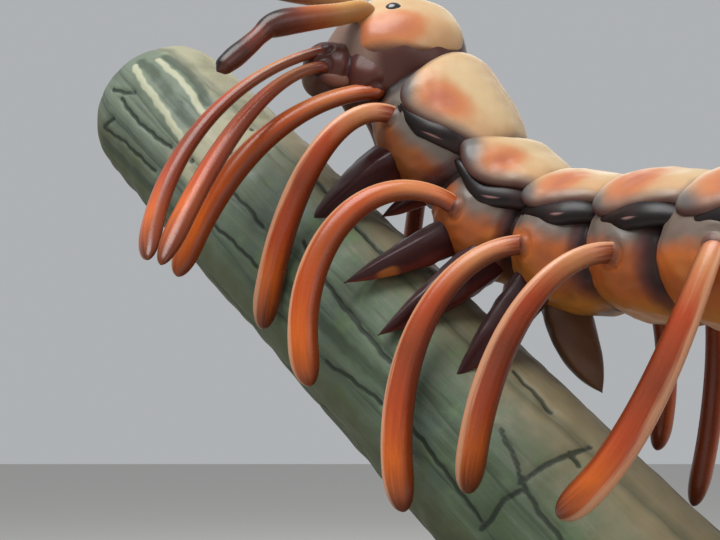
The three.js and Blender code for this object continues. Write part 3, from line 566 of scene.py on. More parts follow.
def skin_paint():
    """Varnished fibreglass, airbrushed: soft edges between an orange flank, a grey shoulder, an ochre belly
    and maroon creases. The maroon and black in the creases, round the leg roots and where the neck meets the
    body are painted shade, and the brown belly and the maroon neck are partly painted shade."""
    return sprayed("airbrushed_fibreglass", "flank_orange", [
        ("big", .5, .68, .55, "flank_ochre", 0),
        ("girth", .7, .84, .85, "flank_ochre", .12),
        ("big", .5, .34, .5, "flank_brown", .1),
        ("front", .2, 1, .6, "flank_brown", .2),
        # Brown belly, partly painted shade under the body.
        ("girth", .9, 1, .8, "belly_brown_and_shade", .12),
        ("girth", .55, .45, .9, "shoulder_grey", .06),
        # The neck and head turn dark maroon, partly as painted shade on the throat.
        ("neck", .4, .6, .93, "neck_maroon_and_shade", 0),
        ("cheek", .2, .8, .85, "cheek_grey", .1),
        # Painted shade: maroon and black in the creases and round the leg roots, and black where the neck
        # meets the body.
        ("crease", .3, .8, .85, "crease_shade_maroon", .3),
        ("crease", .7, 1, .85, "crease_shade_black", .15),
        ("root", .45, .9, .7, "crease_shade_maroon", .15),
        ("root", .85, 1, .7, "crease_shade_black", .05),
        ("dark", .2, .9, .95, "crease_shade_black", .25),
    ], dull=.52, gloss=.36, peel=.0012, coat=.15)


def plate_paint():
    """Varnished fibreglass, airbrushed: a cream dome with an orange blush low on it and a grey rim."""
    return sprayed("airbrushed_plate", "plate_cream", [
        ("big", .5, .7, .45, "plate_tan", .1),
        ("across", .3, .85, .6, "plate_tan", .25),
        ("blush", .25, .8, .8, "plate_blush", .3),
        ("blush", .75, 1.1, .6, "plate_rose", .3),
        ("across", .74, .95, .8, "plate_grey", .1),
        ("tip", .2, .9, .9, "plate_slate", .2),
        ("shade", .2, .95, .9, "neck_maroon_and_shade", .2),
        ("place", .86, .99, .6, "plate_grey", .08),
        ("place", -.9, -.99, .5, "plate_grey", .08),
    ], dull=.5, gloss=.34, peel=.001)


def lobe_paint():
    """Gloss enamel over fibreglass: nearly black, which is partly painted shade under the flap, with a little
    maroon and a thin pale painted highlight on each.
    """
    return sprayed("gloss_enamel_lobe", "lobe_black_and_shade", [
        ("cloud", .5, .7, .6, "lobe_maroon", 0),
        ("glint", .45, .95, .85, "lobe_glint", .1),
    ], dull=.42, gloss=.3, peel=.0005, coat=.1, shine=.3)


def leg_paint():
    """Varnished resin, airbrushed: salmon at the root, brown, then red and orange to a dark tip, with a pale
    rim on the outer edge that is partly a painted highlight, painted shade on the inner side, and fine
    strokes along it."""
    material, tree = new_material("airbrushed_resin_leg")
    strokes = add_node(tree, "ShaderNodeCombineXYZ",
                       [(source(tree, mark), i) for i, mark in enumerate(("streak", "along", "tone"))])
    strokes = add_node(tree, "ShaderNodeTexNoise", [(strokes.outputs[0], 0)],
                       in_Scale=LEG_STROKES, in_Detail=5).outputs["Fac"]
    ramp = along_ramp(tree, strokes, .16, [
        (.03, "leg_brown"), (.1, "leg_salmon"), (.2, "leg_tan"), (.4, "leg_red"), (.58, "leg_brown"),
        (.74, "leg_red"), (.86, "leg_orange"), (1, "leg_tip"),
    ])
    colour = coats(tree, ramp, [
        ("tone", .35, 1, .45, "leg_orange", .2),
        # Painted shade on the inner side, and a pale outer rim that is partly a painted highlight.
        ("rim", 0, -.75, .8, "leg_shadow", .5),
        ("rim", .78, .98, .75, "leg_rim_and_highlight", .3),
        ("along", .94, 1, .5, "leg_tip", .05),
    ], strokes)
    varnish(tree, colour, dull=.34, gloss=.22, peel=.0008)
    return material


def spine_paint():
    """Varnished resin: maroon, with grey upper edges that are partly a painted reflection of the sky, a red
    underside and an orange spot.
    """
    return sprayed("varnished_resin_spine", "spine_maroon", [
        # Grey on the upward faces, partly a painted reflection of the sky.
        ("rim", .25, .95, .75, "spine_grey_and_sheen", .5),
        ("rim", -.2, -.85, .8, "spine_red", .6),
        ("spot", .4, .95, .75, "spine_orange", .5),
        ("tan", .4, .6, .8, "spine_tan", 0),
    ], dull=.46, gloss=.3, peel=.001, coat=.1, shine=.3)


def feeler_paint():
    """Varnished resin, airbrushed along it: ochre at the root, then orange, maroon and a black tip."""
    material, tree = new_material("airbrushed_resin_feeler")
    ramp = along_ramp(tree, source(tree, "cloud"), .14, [
        (.22, "feeler_ochre"), (.36, "feeler_orange"), (.48, "feeler_maroon"), (.56, "feeler_black"),
        (.63, "feeler_black"), (.69, "feeler_maroon"), (.76, "feeler_maroon"), (.84, "feeler_black"),
    ])
    colour = coats(tree, ramp, [("rim", -.2, -.9, .5, "feeler_maroon", .4)])
    varnish(tree, colour, dull=.36, gloss=.22, peel=.0008)
    return material


def claw_paint():
    """Varnished resin, airbrushed: brown as the cheek, nearly black at the tip."""
    return sprayed("airbrushed_resin_claw", "claw_brown", [
        ("along", .45, .85, .7, "feeler_maroon", .2),
        ("along", .75, .98, .9, "feeler_black", .1),
    ], dull=.58, gloss=.44, peel=.0005, coat=.05)


def eye_gloss():
    """Clear gloss over black enamel, with a faint brown ring: it shows the light as a sharp spot."""
    return sprayed("gloss_enamel_eye", "eye_black", [("ring", .8, .98, .5, "feeler_maroon", .05)],
                   dull=.08, gloss=.05, peel=.0001, coat=1, shine=.5)


def trunk_paint():
    """Matt scenic paint over cast resin bark: grey-green sides, a tan top and an olive underside in soft
    washes, pale stripes near the crown, and dark long and cross cracks. The olive and brown towards the
    underside are partly painted shade, and the darkening beside the long cracks is painted shade."""
    material, tree = new_material("scenic_paint_bark")
    along, girth = source(tree, "along"), source(tree, "girth")
    strokes = add_node(tree, "ShaderNodeCombineXYZ", [(along, 0), (girth, 1)])
    strokes = add_node(tree, "ShaderNodeMapping", [(strokes.outputs[0], 0)], in_Scale=BARK_STROKES)
    strokes = add_node(tree, "ShaderNodeTexNoise", [(strokes.outputs[0], 0)], in_Scale=1, in_Detail=4)
    strokes = strokes.outputs["Fac"]
    lean = add_node(tree, "ShaderNodeMath", [(along, 0), (girth, 2)], operation="MULTIPLY_ADD", in_1=.05)
    colour = coats(tree, "trunk_green", [
        ("big", .42, .62, .7, "trunk_blue", .1),
        ("cloud", .52, .7, .6, "trunk_leaf", 0),
        ("along", 2.4, 3.3, .75, "trunk_grey", .5),
        ("along", 1.1, .3, .45, "trunk_moss", .6),
        (strokes, .52, .7, .55, "trunk_grey", .1),
        (strokes, .46, .3, .6, "trunk_shade", .1),
        (lean.outputs[0], .46, .2, .85, "trunk_tan", .25),
        ("pale", .2, .85, .8, "trunk_cream", .5),
        # Olive and brown towards the underside, partly painted shade.
        ("girth", .58, .72, .8, "trunk_olive_and_shade", .12),
        ("girth", .86, 1, .6, "trunk_brown_and_shade", .1),
        ("big", .6, .75, .4, "trunk_olive_and_shade", .2),
        # Painted shade beside the long cracks between the strips.
        ("seam", .07, 0, .5, "trunk_shade", .08),
        ("shade", .3, .9, .8, "trunk_shade", .2),
        ("stripe", .35, .8, .9, "trunk_stripe", .3),
        ("crack", .4, .85, .9, "trunk_crack", .3),
        ("knot", .45, .8, .9, "trunk_crack", .2),
    ])
    rough = add_node(tree, "ShaderNodeMapRange", [(source(tree, "cloud"), 0)],
                     in_1=.3, in_2=.7, in_3=.5, in_4=.75)
    soft = add_node(tree, "ShaderNodeBump", [(strokes, "Height")], in_Strength=.6, in_Distance=.012)
    fine = add_node(tree, "ShaderNodeBump", [(source(tree, "grain"), "Height"), (soft.outputs[0], "Normal")],
                    in_Strength=.8, in_Distance=.002)
    shader = add_node(tree, "ShaderNodeBsdfPrincipled",
                      [(colour, "Base Color"), (rough.outputs[0], "Roughness"), (fine.outputs[0], "Normal")])
    add_node(tree, "ShaderNodeOutputMaterial", [(shader.outputs[0], 0)])
    return material


def stand_paint(name, base, worn):
    """Painted steel and board: an even satin coat with faint roller marks and slightly worn patches."""
    return sprayed(name, base, [("big", .52, .7, .4, worn, .1), ("cloud", .6, .75, .25, worn, 0)],
                   dull=.55, gloss=.42, peel=.0006, coat=0)


def floor_paint():
    """Matt floor paint, pale grey and even."""
    material, tree = new_material("studio_floor_paint")
    shader = add_node(tree, "ShaderNodeBsdfPrincipled", in_Base_Color=linear(FLOOR), in_Roughness=.85)
    add_node(tree, "ShaderNodeOutputMaterial", [(shader.outputs[0], 0)])
    return material


# The body's skin


def leg_table():
    """Every leg: name, carrier's middle, root, the line from its root, and its size."""
    thick = sizes().base_thick
    table = []
    for ring in range(RINGS):
        for side, sign, shown in (("left", 1, LEFT_LEGS), ("right", -1, RIGHT_LEGS)):
            pose = list(shown[ring] if ring < len(shown) else HIND_LEGS[side])
            if ring >= len(shown):
                pose[2] += HIND_SWEEP * (ring - len(shown) + 1)
            if ring == RINGS - 1:
                pose = LAST_LEGS
            place, angle, sweep, reach, drop, start, end, lean = pose
            distance = ring_place(ring, place)
            root = body_point(distance, sign * np.radians(angle), 1)
            fall = np.cos(np.radians(start)) - np.cos(np.radians(end))
            drop = min(drop, (root[2] - thick - FLOOR_CLEAR) / fall)
            middle, forward, _, _ = body_frame(distance)
            line = leg_line(root, forward, sign, (sweep, reach, drop, start, end, lean))
            number = ring + len(NECK_LEG_SIZES) + 1
            table.append((f"leg_{side}_{number:02d}", middle, line, np.sqrt(size_at(distance))))
    for side, sign in (("left", 1), ("right", -1)):
        for i, (along, angle, *pose) in enumerate(NECK_LEGS[side]):
            middle, forward, _, _ = neck_frame(along)
            line = leg_line(neck_point(along, sign * np.radians(angle), 0), forward, sign, pose)
            table.append((f"leg_{side}_{i + 1:02d}", middle, line, NECK_LEG_SIZES[i]))
    return table


def leg_stations():
    """Places along a leg, closer to each other at its tip: the sine of evenly spaced angles."""
    return np.sin(np.linspace(0, np.pi / 2, 60))


def leg_line(root, forward, sign, pose):
    """A leg's arc: out by reach times the sine and down by drop times one minus the cosine of a turning
    angle, and on towards the head with the square of the place along it."""
    sweep, reach, drop, start, end, lean = pose
    turn, begin = np.radians(sweep), -np.radians(start)
    out = sign * unit(np.cross([0, 0, 1.], forward))
    ahead = unit(forward * (1, 1, 0))
    direction = out * np.cos(turn) + ahead * np.sin(turn)
    across = ahead * np.cos(turn) - out * np.sin(turn)
    k = leg_stations()
    arc = mix(begin, np.radians(end), k)
    line = root + direction * (reach * (np.sin(arc) - np.sin(begin)))[:, None]
    line = line + across * (lean * k ** 2)[:, None]
    line[:, 2] -= drop * (np.cos(begin) - np.cos(arc))
    return line


neck_path = Curve(NECK_PATH)


def neck_frame(along):
    """Place, forward, up and left on the neck's path, at a share of its length."""
    distance = np.asarray(along, float) * neck_path.length
    forward = neck_path.slope(distance)
    up, left = level_frame(forward, np.zeros(forward.shape[:-1]))
    return neck_path.at(distance), forward, up, left


def neck_point(along, angle, swell):
    """A point of the neck's oval section, moved out by swell."""
    at, _, up, left = neck_frame(along)
    high = np.interp(along, [0, .5, 1], NECK_HEIGHTS) + swell
    wide = np.interp(along, [0, .5, 1], NECK_WIDTHS) + swell
    return at + up * (np.cos(angle) * high)[..., None] + left * (np.sin(angle) * wide)[..., None]


trunk_up = unit(TRUNK_UPPER - TRUNK_LOWER)
trunk_side = unit(np.cross([0, 0, 1.], trunk_up))
trunk_top = np.cross(trunk_up, trunk_side)


def trunk_point(along, angle, radius):
    """A point by its place along the trunk, the angle round it from its top in degrees, and its radius."""
    turn = np.radians(angle)
    out = np.multiply.outer(np.cos(turn), trunk_top) + np.multiply.outer(np.sin(turn), trunk_side)
    return TRUNK_LOWER + np.multiply.outer(along, trunk_up) + out * np.asarray(radius, float)[..., None]


def root_relief(near, ridge, groove):
    """Bells of the distance to a leg's root: a ridge, and a groove close to the leg."""
    return ridge * bell(near, RIDGE_WIDTH) - groove * bell(near - GROOVE_AT, GROOVE_WIDTH)


def root_distance(points, legs):
    """How far each point is from the nearest leg's root, in half widths of that leg's root."""
    reach = LEG_ROOT * sizes().leg_half_width
    gaps = [np.linalg.norm(points - line[0], axis=-1) / (size * reach) for _, _, line, size in legs]
    return np.min(gaps, axis=0)


def body_flesh(legs, rows=36, tail_rows=34, columns=132):
    """The flesh of the body: an oval carried along the axis. Each ring swells between two creases as one
    minus a power of the place in it, and the skin rises round each leg's root, with a groove close to it."""
    s = sizes()
    starts, lengths = ring_table()
    end = starts[-1] + lengths[-1]
    k = np.linspace(0, 1, rows, endpoint=False)
    tail = np.linspace(0, .999, tail_rows) ** .8
    along = np.append((starts[:, None] + k * lengths[:, None]).ravel(), end + tail * TAIL_LENGTH)
    place = np.append(np.tile(2 * k - 1, RINGS), np.minimum(tail / TAIL_SHOULDER - 1, 0))
    tail = (along - end) / TAIL_LENGTH
    rounded = np.sqrt(np.clip(1 - ((tail - TAIL_SHOULDER) / (1 - TAIL_SHOULDER)) ** 2, 0, 1))
    swell = np.where(tail > TAIL_SHOULDER, rounded, mix(1, 1 - s.crease_depth, np.abs(place) ** 2.6))
    d, a = np.meshgrid(along, round_turn(columns), indexing="ij")
    girth = np.degrees(np.arccos(np.cos(a)))
    depth = np.abs(place)[:, None] + 0 * a
    crease = np.maximum(smooth(place, .36, 1), smooth(-place, .9, 1))[:, None]
    points = body_point(d, a, swell[:, None] + 0 * a)
    near = root_distance(points, legs)
    fold = np.sin(depth * 30 + waves(points, .5, 3) * 2) * smooth(depth, .5, .9) * (1 - smooth(depth, .93, 1))
    rise = (bell(girth - FLANK_AT, FLANK_WIDTH) * FLANK_SWELL * (1 - depth ** 2) * size_at(d)
            + root_relief(near, BODY_RIDGE, BODY_GROOVE) + SKIN_FOLD * fold
            + .006 * waves(points, .3, 5) + .003 * waves(points, .11, 6))
    points = points + unit(points - body_frame(d)[0]) * rise[..., None]
    at, forward, _, _ = body_frame(0.)
    collar = [at + (points[0] - at) * (section / (1 - s.crease_depth)) + forward * ahead
              for ahead, section in COLLAR[:0:-1]]
    # The crease, root and dark marks carry painted shade: in the creases, round the leg roots, and where the
    # neck meets the first ring.
    marks = {
        "girth": girth / 180, "crease": crease * mix(1, .62, smooth(girth, 120, 155)),
        "root": bell(near, 1.35), "front": 1 - smooth(d, .2, 1.6), "dark": 1 - smooth(d, 0, .14),
    }
    marks = {mark: np.concatenate([np.repeat(v[:1], len(collar), 0), v]) for mark, v in marks.items()}
    return tube(np.concatenate([np.array(collar), points]), {**marks, "neck": 0, "cheek": 0})


def neck_flesh(legs, rows=56, nose_rows=13, columns=104):
    """The neck: an oval carried along its path and rounded at the nose, with two folds between its legs."""
    k, a = np.meshgrid(np.linspace(0, 1, rows), round_turn(columns), indexing="ij")
    folds = sum(bell(k - place, width) for place, width in NECK_FOLDS)
    points = neck_point(k, a, -NECK_FOLD * folds)
    at, forward, _, _ = neck_frame(1.)
    turn = np.linspace(.06, .5, nose_rows, endpoint=False)[:, None, None] * np.pi
    nose = at + (points[-1] - at) * np.cos(turn) + forward * NECK_NOSE * np.sin(turn)
    points = np.concatenate([points, nose])
    near = root_distance(points, legs)
    out = unit(points - points.mean(1, keepdims=True))
    rise = root_relief(near, NECK_RIDGE, NECK_GROOVE) + .009 * waves(points, .2, 9)
    k, folds = np.pad(k, ((0, nose_rows), (0, 0)), "edge"), np.pad(folds, ((0, nose_rows), (0, 0)))
    # On the neck, crease and root carry painted shade in its folds and round its leg roots, and dark carries
    # painted shade towards the body.
    return tube(points + out * rise[..., None], {
        "girth": np.degrees(np.arccos(np.cos(a[0]))) / 180, "crease": np.clip(folds, 0, 1) * .92,
        "root": bell(near, 1.35), "front": 1, "dark": 1 - smooth(k, .1, .45), "neck": 1, "cheek": 0,
    })


head_forward = unit(np.array(HEAD_FORWARD))
head_up, head_left = level_frame(head_forward, np.array(float(HEAD_ROLL)))


def head_point(forward, left, up, sign=1):
    """A point by its place forward, left and up from the head's middle."""
    outer = np.multiply.outer
    return (HEAD_CENTRE + outer(forward, head_forward) + outer(sign * np.asarray(left), head_left)
            + outer(up, head_up))


def skull_point(along, angle, swell):
    """A point of the skull: an ellipsoid read by its place along it and the angle round it."""
    size = np.sqrt(np.clip(1 - along ** 2, 0, 1)) * swell
    return head_point(along * HEAD_HALF[0] * swell, np.sin(angle) * HEAD_HALF[1] * size,
                      np.cos(angle) * HEAD_HALF[2] * size)


def oval(at, half, rows=40, columns=56):
    """An ellipsoid on the head, with its half axes forward, left and up."""
    t, a = np.meshgrid(np.linspace(.02, .98, rows) * np.pi, round_turn(columns), indexing="ij")
    return head_point(at[0] + half[0] * np.cos(t), at[1] + half[1] * np.sin(t) * np.sin(a),
                      at[2] + half[2] * np.sin(t) * np.cos(a))


def head_flesh(rows=80, columns=130):
    """The skull and the jaws: ellipsoids with soft lumps."""
    along = -np.cos(np.linspace(.03, .97, rows) * np.pi)
    k, a = np.meshgrid(along, round_turn(columns), indexing="ij")
    points = skull_point(k, a, 1)
    points = points + unit(points - HEAD_CENTRE) * (.012 * waves(points, .3, 12))[..., None]
    bodies = [(points, np.degrees(np.arccos(np.cos(a))) / 180, k)]
    bodies += [(oval(at, (size, size * .8, size * .7)), np.array(.75), np.array(.6)) for at, size in JAWS]
    # On the head, dark carries painted shade low at the rear of the skull, next to the neck.
    return [tube(points, {
        "girth": girth, "crease": 0, "root": 0, "front": 1, "neck": 1, "cheek": smooth(k, .1, .75),
        "dark": smooth(-k, .35, .85) * smooth(girth, .3, .5),
    }) for points, girth, k in bodies]


def plate_grid(across, along):
    """Places across and along a plate from -1 to 1, closer at its edges."""
    a = np.sin(np.linspace(-1, 1, across) * np.pi / 2)
    p = np.sin(np.linspace(-1, 1, along) * np.pi / 2)
    return np.meshgrid(p, a, indexing="ij")


def plate_table():
    """Of each plate: its start, length up to the next one, sweep, and the angle of its flap."""
    starts, lengths = ring_table()
    behind, sweep = (np.pad(v, (0, RINGS - len(v)), "edge") for v in (PLATE_BEHIND, PLATE_SWEEP))
    begins = np.append(starts + behind, starts[-1] + lengths[-1] + TAIL_PLATE_BEHIND)
    fronts = [PLATE_FIRST] + [PLATE_FRONT] * RINGS
    return list(zip(begins, np.append(np.diff(begins), TAIL_PLATE), np.append(sweep, 0), fronts))


def plate_marks(p, a, seed):
    """The marks of a plate: the blush is two bells, low on its front half and wider on the hind plates, the
    tip is its front corner, and the shade is the very edge of its flap."""
    low = np.abs(a)
    return {
        "across": low, "place": p, "blush": bell(low - .66, .28 + .06 * min(seed, 4)) * bell(p + .15, .7),
        "tip": smooth(low, .5, .95) * smooth(-p, .1, .9), "shade": smooth(low, .84, 1) * .85,
    }


def body_plate(start, length, sweep, front_angle, seed, across=71, along=51):
    """A back plate: a slab that follows the section. Its top rises over the flesh by a slope from front to
    rear and a dome, and rolls down at all four edges as a quarter round. Its flap is longest in front, and
    its front edge is swept forward by a curve of the place across, 2.2 times its square less 1.2 times its
    fourth power. Rows are then averaged with their neighbours."""
    p, a = plate_grid(across, along)
    edge = np.radians(mix(front_angle, PLATE_REAR, smooth((p + 1) / 2)))
    edge = edge * (1 - .2 * smooth(-p, .5, 1) ** 2 - .1 * smooth(p, .75, 1))
    dome = sizes().plate_dome * (BEND_DOME if seed == BEND_PLATE else 1)
    top = 1 + mix(FRONT_RISE, REAR_RISE, (p + 1) / 2) + dome * (1 - p ** 4)
    for place, (width, depth) in ((p, END_ROLL), (a, SIDE_ROLL)):
        top = top - depth * rolled(np.abs(place), width)
    distance = start + (length / 2) * (1 + p * .995) - sweep * (2.2 * a ** 2 - 1.2 * a ** 4) * (1 - p) / 2
    outer = body_point(distance, a * edge, top)
    for _ in range(SMOOTHINGS):
        outer[1:-1] = (outer[:-2] + 2 * outer[1:-1] + outer[2:]) / 4
    lumps = .006 * waves(outer + seed, .4, 21) + .002 * waves(outer, .12, 22)
    outer = outer + unit(outer - body_frame(distance)[0]) * lumps[..., None]
    inner = body_point(distance, a * edge * .97, UNDERSIDE + 0 * p)
    return slab(outer, inner, plate_marks(p, a, seed))


def side_lobe(start, length, sweep, front_angle, sign, grid=44):
    """The glossy lobe under a plate's flap: a leaf-shaped pillow, whose near-black paint stands partly for
    the shade under the flap. Its height is the root of one minus the squares of its two places, and it is
    widest behind its middle. Its glint mark is a painted highlight."""
    t, r = np.meshgrid(np.linspace(.02, .98, grid) * np.pi, round_turn(grid), indexing="ij")
    p = .1 - .94 * np.cos(t)
    flap = mix(front_angle, PLATE_REAR, smooth((p + 1) / 2))
    body = np.sin(t) ** .6
    low = flap + mix(*LOBE_UNDER, smooth(p, -.9, .6))
    angle = mix(flap - LOBE_OVER, low, .5 + .5 * np.sin(r) * body)
    swell = 1 - sizes().crease_depth * np.abs(np.clip(p, -1, 1)) ** 2.6
    swell = swell + (LOBE_THICK[0] + LOBE_THICK[1] * smooth(p, -.5, .8)) * np.cos(r) * body
    points = body_point(start + length * (1 + p) / 2 - sweep * (1 - p) / 2, sign * np.radians(angle), swell)
    # The glint mark is a painted highlight, low on the rear half of each lobe.
    glint = bell(p - .3, .26) * bell(np.sin(r) - .45, .12) * smooth(np.cos(r), 0, .5)
    return tube(points, {"glint": glint})


def head_shield(across=71, rows=61):
    """The shield: a slab over the skull whose top rises by a little, rolls down at its rear edge, and dives
    into the skull at its sides and in front."""
    p, a = plate_grid(across, rows)
    along = mix(SHIELD_FROM, SHIELD_TO, (p + 1) / 2)
    width, depth = SHIELD_ROLL
    rise = SHIELD_RISE - depth * rolled(-p, width) - SHIELD_DIVE * (a ** 6 + smooth(p, .55, 1))
    edge = np.radians(SHIELD_ANGLE)
    outer = skull_point(along, a * edge, rise)
    outer = outer + unit(outer - HEAD_CENTRE) * (.007 * waves(outer, .3, 14) * (1 - a ** 4))[..., None]
    inner = skull_point(along, a * edge * .98, UNDERSIDE + 0 * p)
    low = np.abs(a)
    return slab(outer, inner, {
        "across": low * .8, "place": np.minimum(p, .8), "blush": bell(low - .66, .3) * smooth(p, -.75, .1),
        "tip": 0, "shade": smooth(low, .92 - .26 * smooth(p, -.6, .5), 1),
    })


def limb_rings(line, wide, thick, flat, sides, keel=0):
    """Ovals along a line: the wide half axis lies across flat and the line. keel lifts the outer edge by the
    sixth power of the cosine."""
    along = unit(np.gradient(line, axis=0))
    out = unit(np.cross(along, flat))
    side = np.cross(out, along)
    r = round_turn(sides)
    bulge = 1 + keel * np.clip(np.cos(r), 0, 1) ** 6
    rings = (line[:, None] + out[:, None] * (np.cos(r) * bulge)[None, :, None] * wide[:, None, None]
             + side[:, None] * np.sin(r)[None, :, None] * thick[:, None, None])
    return rings, r


def leg_body(middle, line, size, tone, sunk_rows=6, sides=40):
    """A leg: an oval along its arc, two thirds as wide at its root, with a keel on its outer side and a round
    tip. Its first rows are sunk towards the carrier's middle."""
    k = leg_stations()
    tip = np.sqrt(1 - np.clip(np.clip((k - LEG_TIP) / (1 - LEG_TIP), 0, 1) ** 2.4, 0, .985))
    wide = sizes().leg_half_width * size * mix(LEG_ROOT, 1, smooth(k / LEG_WIDEST)) * tip
    inward = unit(unit(middle - line[0]) + unit(line[0] - line[4]))
    sunk = line[0] + inward * (LEG_SUNK * np.linspace(1, 0, sunk_rows, endpoint=False))[:, None]
    knee = line[LEG_KNEE]
    flat = unit(np.cross(knee - line[0], line[-1] - knee))
    wide = np.pad(wide, (sunk_rows, 0), "edge")
    rings, turn = limb_rings(np.vstack([sunk, line]), wide, wide * LEG_THICKNESS, flat, sides, LEG_KEEL)
    return tube(rings, {"along": np.pad(k, (sunk_rows, 0))[:, None], "rim": np.cos(turn),
                        "streak": .9 * np.abs(turn - np.pi), "tone": tone})


def spine_body(index, rows=50, sides=48):
    """A belly spine: a diamond with soft edges whose half width falls as one minus a power of its place, bent
    towards the head."""
    ring, place, angle, length, lean, root = SPINES[index]
    distance = ring_place(ring, place)
    forward = body_frame(distance)[1]
    start = body_point(distance, np.radians(angle), SPINE_ROOT)
    skin = body_point(distance, np.radians(angle), 1)
    full = length + np.linalg.norm(skin - start)
    k = np.sin(np.linspace(0, np.pi / 2, rows))
    line = start + unit(skin - start) * (k * full)[:, None] + forward * (lean * k ** 1.6 * full)[:, None]
    wide = np.maximum(.006, root * (1 - k ** (TAN_FULLNESS if index == TAN_SPINE else SPINE_FULLNESS)))
    rings, turn = limb_rings(line, wide, wide * SPINE_THICKNESS, forward, sides)
    power = SPINE_CORNERS
    diamond = (np.abs(np.cos(turn)) ** power + np.abs(np.sin(turn)) ** power) ** (-1 / power)
    rings = line[:, None] + (rings - line[:, None]) * diamond[None, :, None]
    away = unit(rings - line[:, None])
    rings = rings + away * (.007 * waves(rings, .16, 31) * (1 - k)[:, None])[..., None]
    # rise is how far a face turns up; the grey it brings on the upward faces is partly a painted reflection
    # of the sky.
    rise = away[..., 2]
    spot = bell(k - .72, .1)[:, None] * smooth(-rise, -.1, .5) * (index in SPOTTED_SPINES)
    return tube(rings, {"rim": rise, "spot": spot, "tan": float(index == TAN_SPINE)})


def horn(line, widths, sign, rows=100, sides=40):
    """An antenna or claw: a round section along a smooth line through its places on the head."""
    path = Curve([head_point(*p, sign) for p in line])
    k = np.sin(np.linspace(0, np.pi / 2, rows))
    d = k * path.length
    knots = [path.along[np.argmin(np.linalg.norm(path.points - head_point(*p, sign), axis=1))] for p in line]
    wide = np.convolve(np.pad(np.interp(d, knots, widths), 4, "edge"), np.ones(9) / 9, "valid")
    wide = np.maximum(.004, wide * np.sqrt(np.clip((1.0001 - k) / .03, 0, 1)))
    rings, turn = limb_rings(path.at(d), wide, wide, head_up, sides)
    return tube(rings, {"along": k[:, None], "rim": np.cos(turn)})


def line_mark(l, angle, lines, width):
    """A bell of the distance to the nearest of the lines, which are drawn on the unrolled trunk."""
    radius = np.radians(1) * sizes().trunk_radius
    here = np.stack([l, angle * radius + .004 * np.sin(l * 31) + .003 * np.sin(l * 67)], -1)
    best = np.full(l.shape, 9.)
    for line in lines:
        knots = np.array(line) * (1, radius)
        for a, b in zip(knots[:-1], knots[1:]):
            t = np.clip((here - a) @ (b - a) / ((b - a) @ (b - a)), 0, 1)
            best = np.minimum(best, np.linalg.norm(here - a - t[..., None] * (b - a), axis=-1))
    return bell(best, width)


def trunk_body(rows=279, crown_rows=44, columns=29):
    """The trunk: strips between long cracks that wander a little, each swelling between its cracks as the
    root of one minus the square of the place in it. It has a round crown, and is cut level at the base."""
    s = sizes()
    end = np.linalg.norm(TRUNK_UPPER - TRUNK_LOWER)
    turn = np.linspace(0, .49 * np.pi, crown_rows)
    k = np.append(np.linspace(0, 1, rows, endpoint=False), np.ones(crown_rows))
    seams = np.array(SEAMS + (SEAMS[0] + 360,), float)
    wander = SEAM_WANDER * np.sin(k[:, None] * 11 + np.arange(len(seams)) * 2.4)
    wander[:, -1] = wander[:, 0]
    seams = seams + wander
    t = np.linspace(0, 1, columns, endpoint=False)
    t = (t + (1 - np.cos(np.pi * t)) / 2) / 2
    low, high = seams[:, :-1, None], seams[:, 1:, None]
    angle = (low + (high - low) * t).reshape(len(k), -1)
    inside = np.tile(t, len(SEAMS))
    width = np.radians((high - low + 0 * t).reshape(len(k), -1)) * s.trunk_radius
    floor = s.base_thick + TRUNK_GAP
    foot = (floor - trunk_point(0 * angle, angle, s.trunk_radius)[..., 2]) / trunk_up[2]
    l = mix(foot, end, k[:, None])
    l[-crown_rows:] += CROWN * np.sin(turn)[:, None]
    taper = np.interp(l, [0, end], [1, TRUNK_UPPER_SIZE])
    taper[-crown_rows:] *= (np.cos(turn) ** CROWN_FLATNESS)[:, None]
    far = np.degrees(np.arccos(np.cos(np.radians(angle))))
    stripe, shade = line_mark(l, far, STRIPES, STRIPE_WIDTH), line_mark(l, far, SHADES, SHADE_WIDTH)
    crack = line_mark(l, far, CRACKS, CRACK_WIDTH)
    knot = np.max([bell(np.hypot(l - place, (far - at) * .01), KNOT_WIDTH) for place, at in KNOTS], axis=0)
    radius = s.trunk_radius * (STRIP_LOW + STRIP_SWELL * np.sqrt(1 - (2 * inside - 1) ** 2))
    radius = radius + STRIPE_HIGH * stripe - SHADE_DEEP * shade - CRACK_DEEP * crack - KNOT_DEEP * knot
    points = trunk_point(l, angle, radius * taper)
    out = unit(points - (TRUNK_LOWER + l[..., None] * trunk_up))
    points = points + out * ((.008 * waves(points, .7, 41) + .004 * waves(points, .2, 42)) * taper)[..., None]
    points[0, :, 2] = floor
    points = points + (np.maximum(0, floor - points[..., 2]) / trunk_up[2])[..., None] * trunk_up
    pale = bell(l - 3.25, .25) * smooth(far, 15, 40) * (1 - smooth(far, 92, 104))
    pale = np.maximum(pale, smooth(l, 2.7, 3.6) * (1 - smooth(far, 30, 55)))
    return tube(points, {
        "along": l, "girth": far / 180, "seam": (.5 - np.abs(inside - .5)) * width, "stripe": stripe,
        "shade": shade, "crack": crack, "pale": pale, "knot": knot,
    })


def post_body(rows=30, sides=40):
    """The post between the body's axis and the trunk's: a round bar."""
    ring, place, radius = POST
    at, forward, _, _ = body_frame(ring_place(ring, place))
    foot = TRUNK_LOWER + trunk_up * ((at - TRUNK_LOWER) @ trunk_up)
    wide = np.full(rows, radius)
    rings, _ = limb_rings(mix(at, foot, np.linspace(.1, .9, rows)[:, None]), wide, wide, forward, sides)
    return tube(rings, {"rim": 0, "tan": 0, "spot": 0})


# Properties and operators


def length(name, about, default):
    return FloatProperty(name=name, description=about, default=default, min=.001,
                         unit="LENGTH", subtype="DISTANCE")


def share(name, about, default):
    return FloatProperty(name=name, description=about, default=default, subtype="FACTOR")


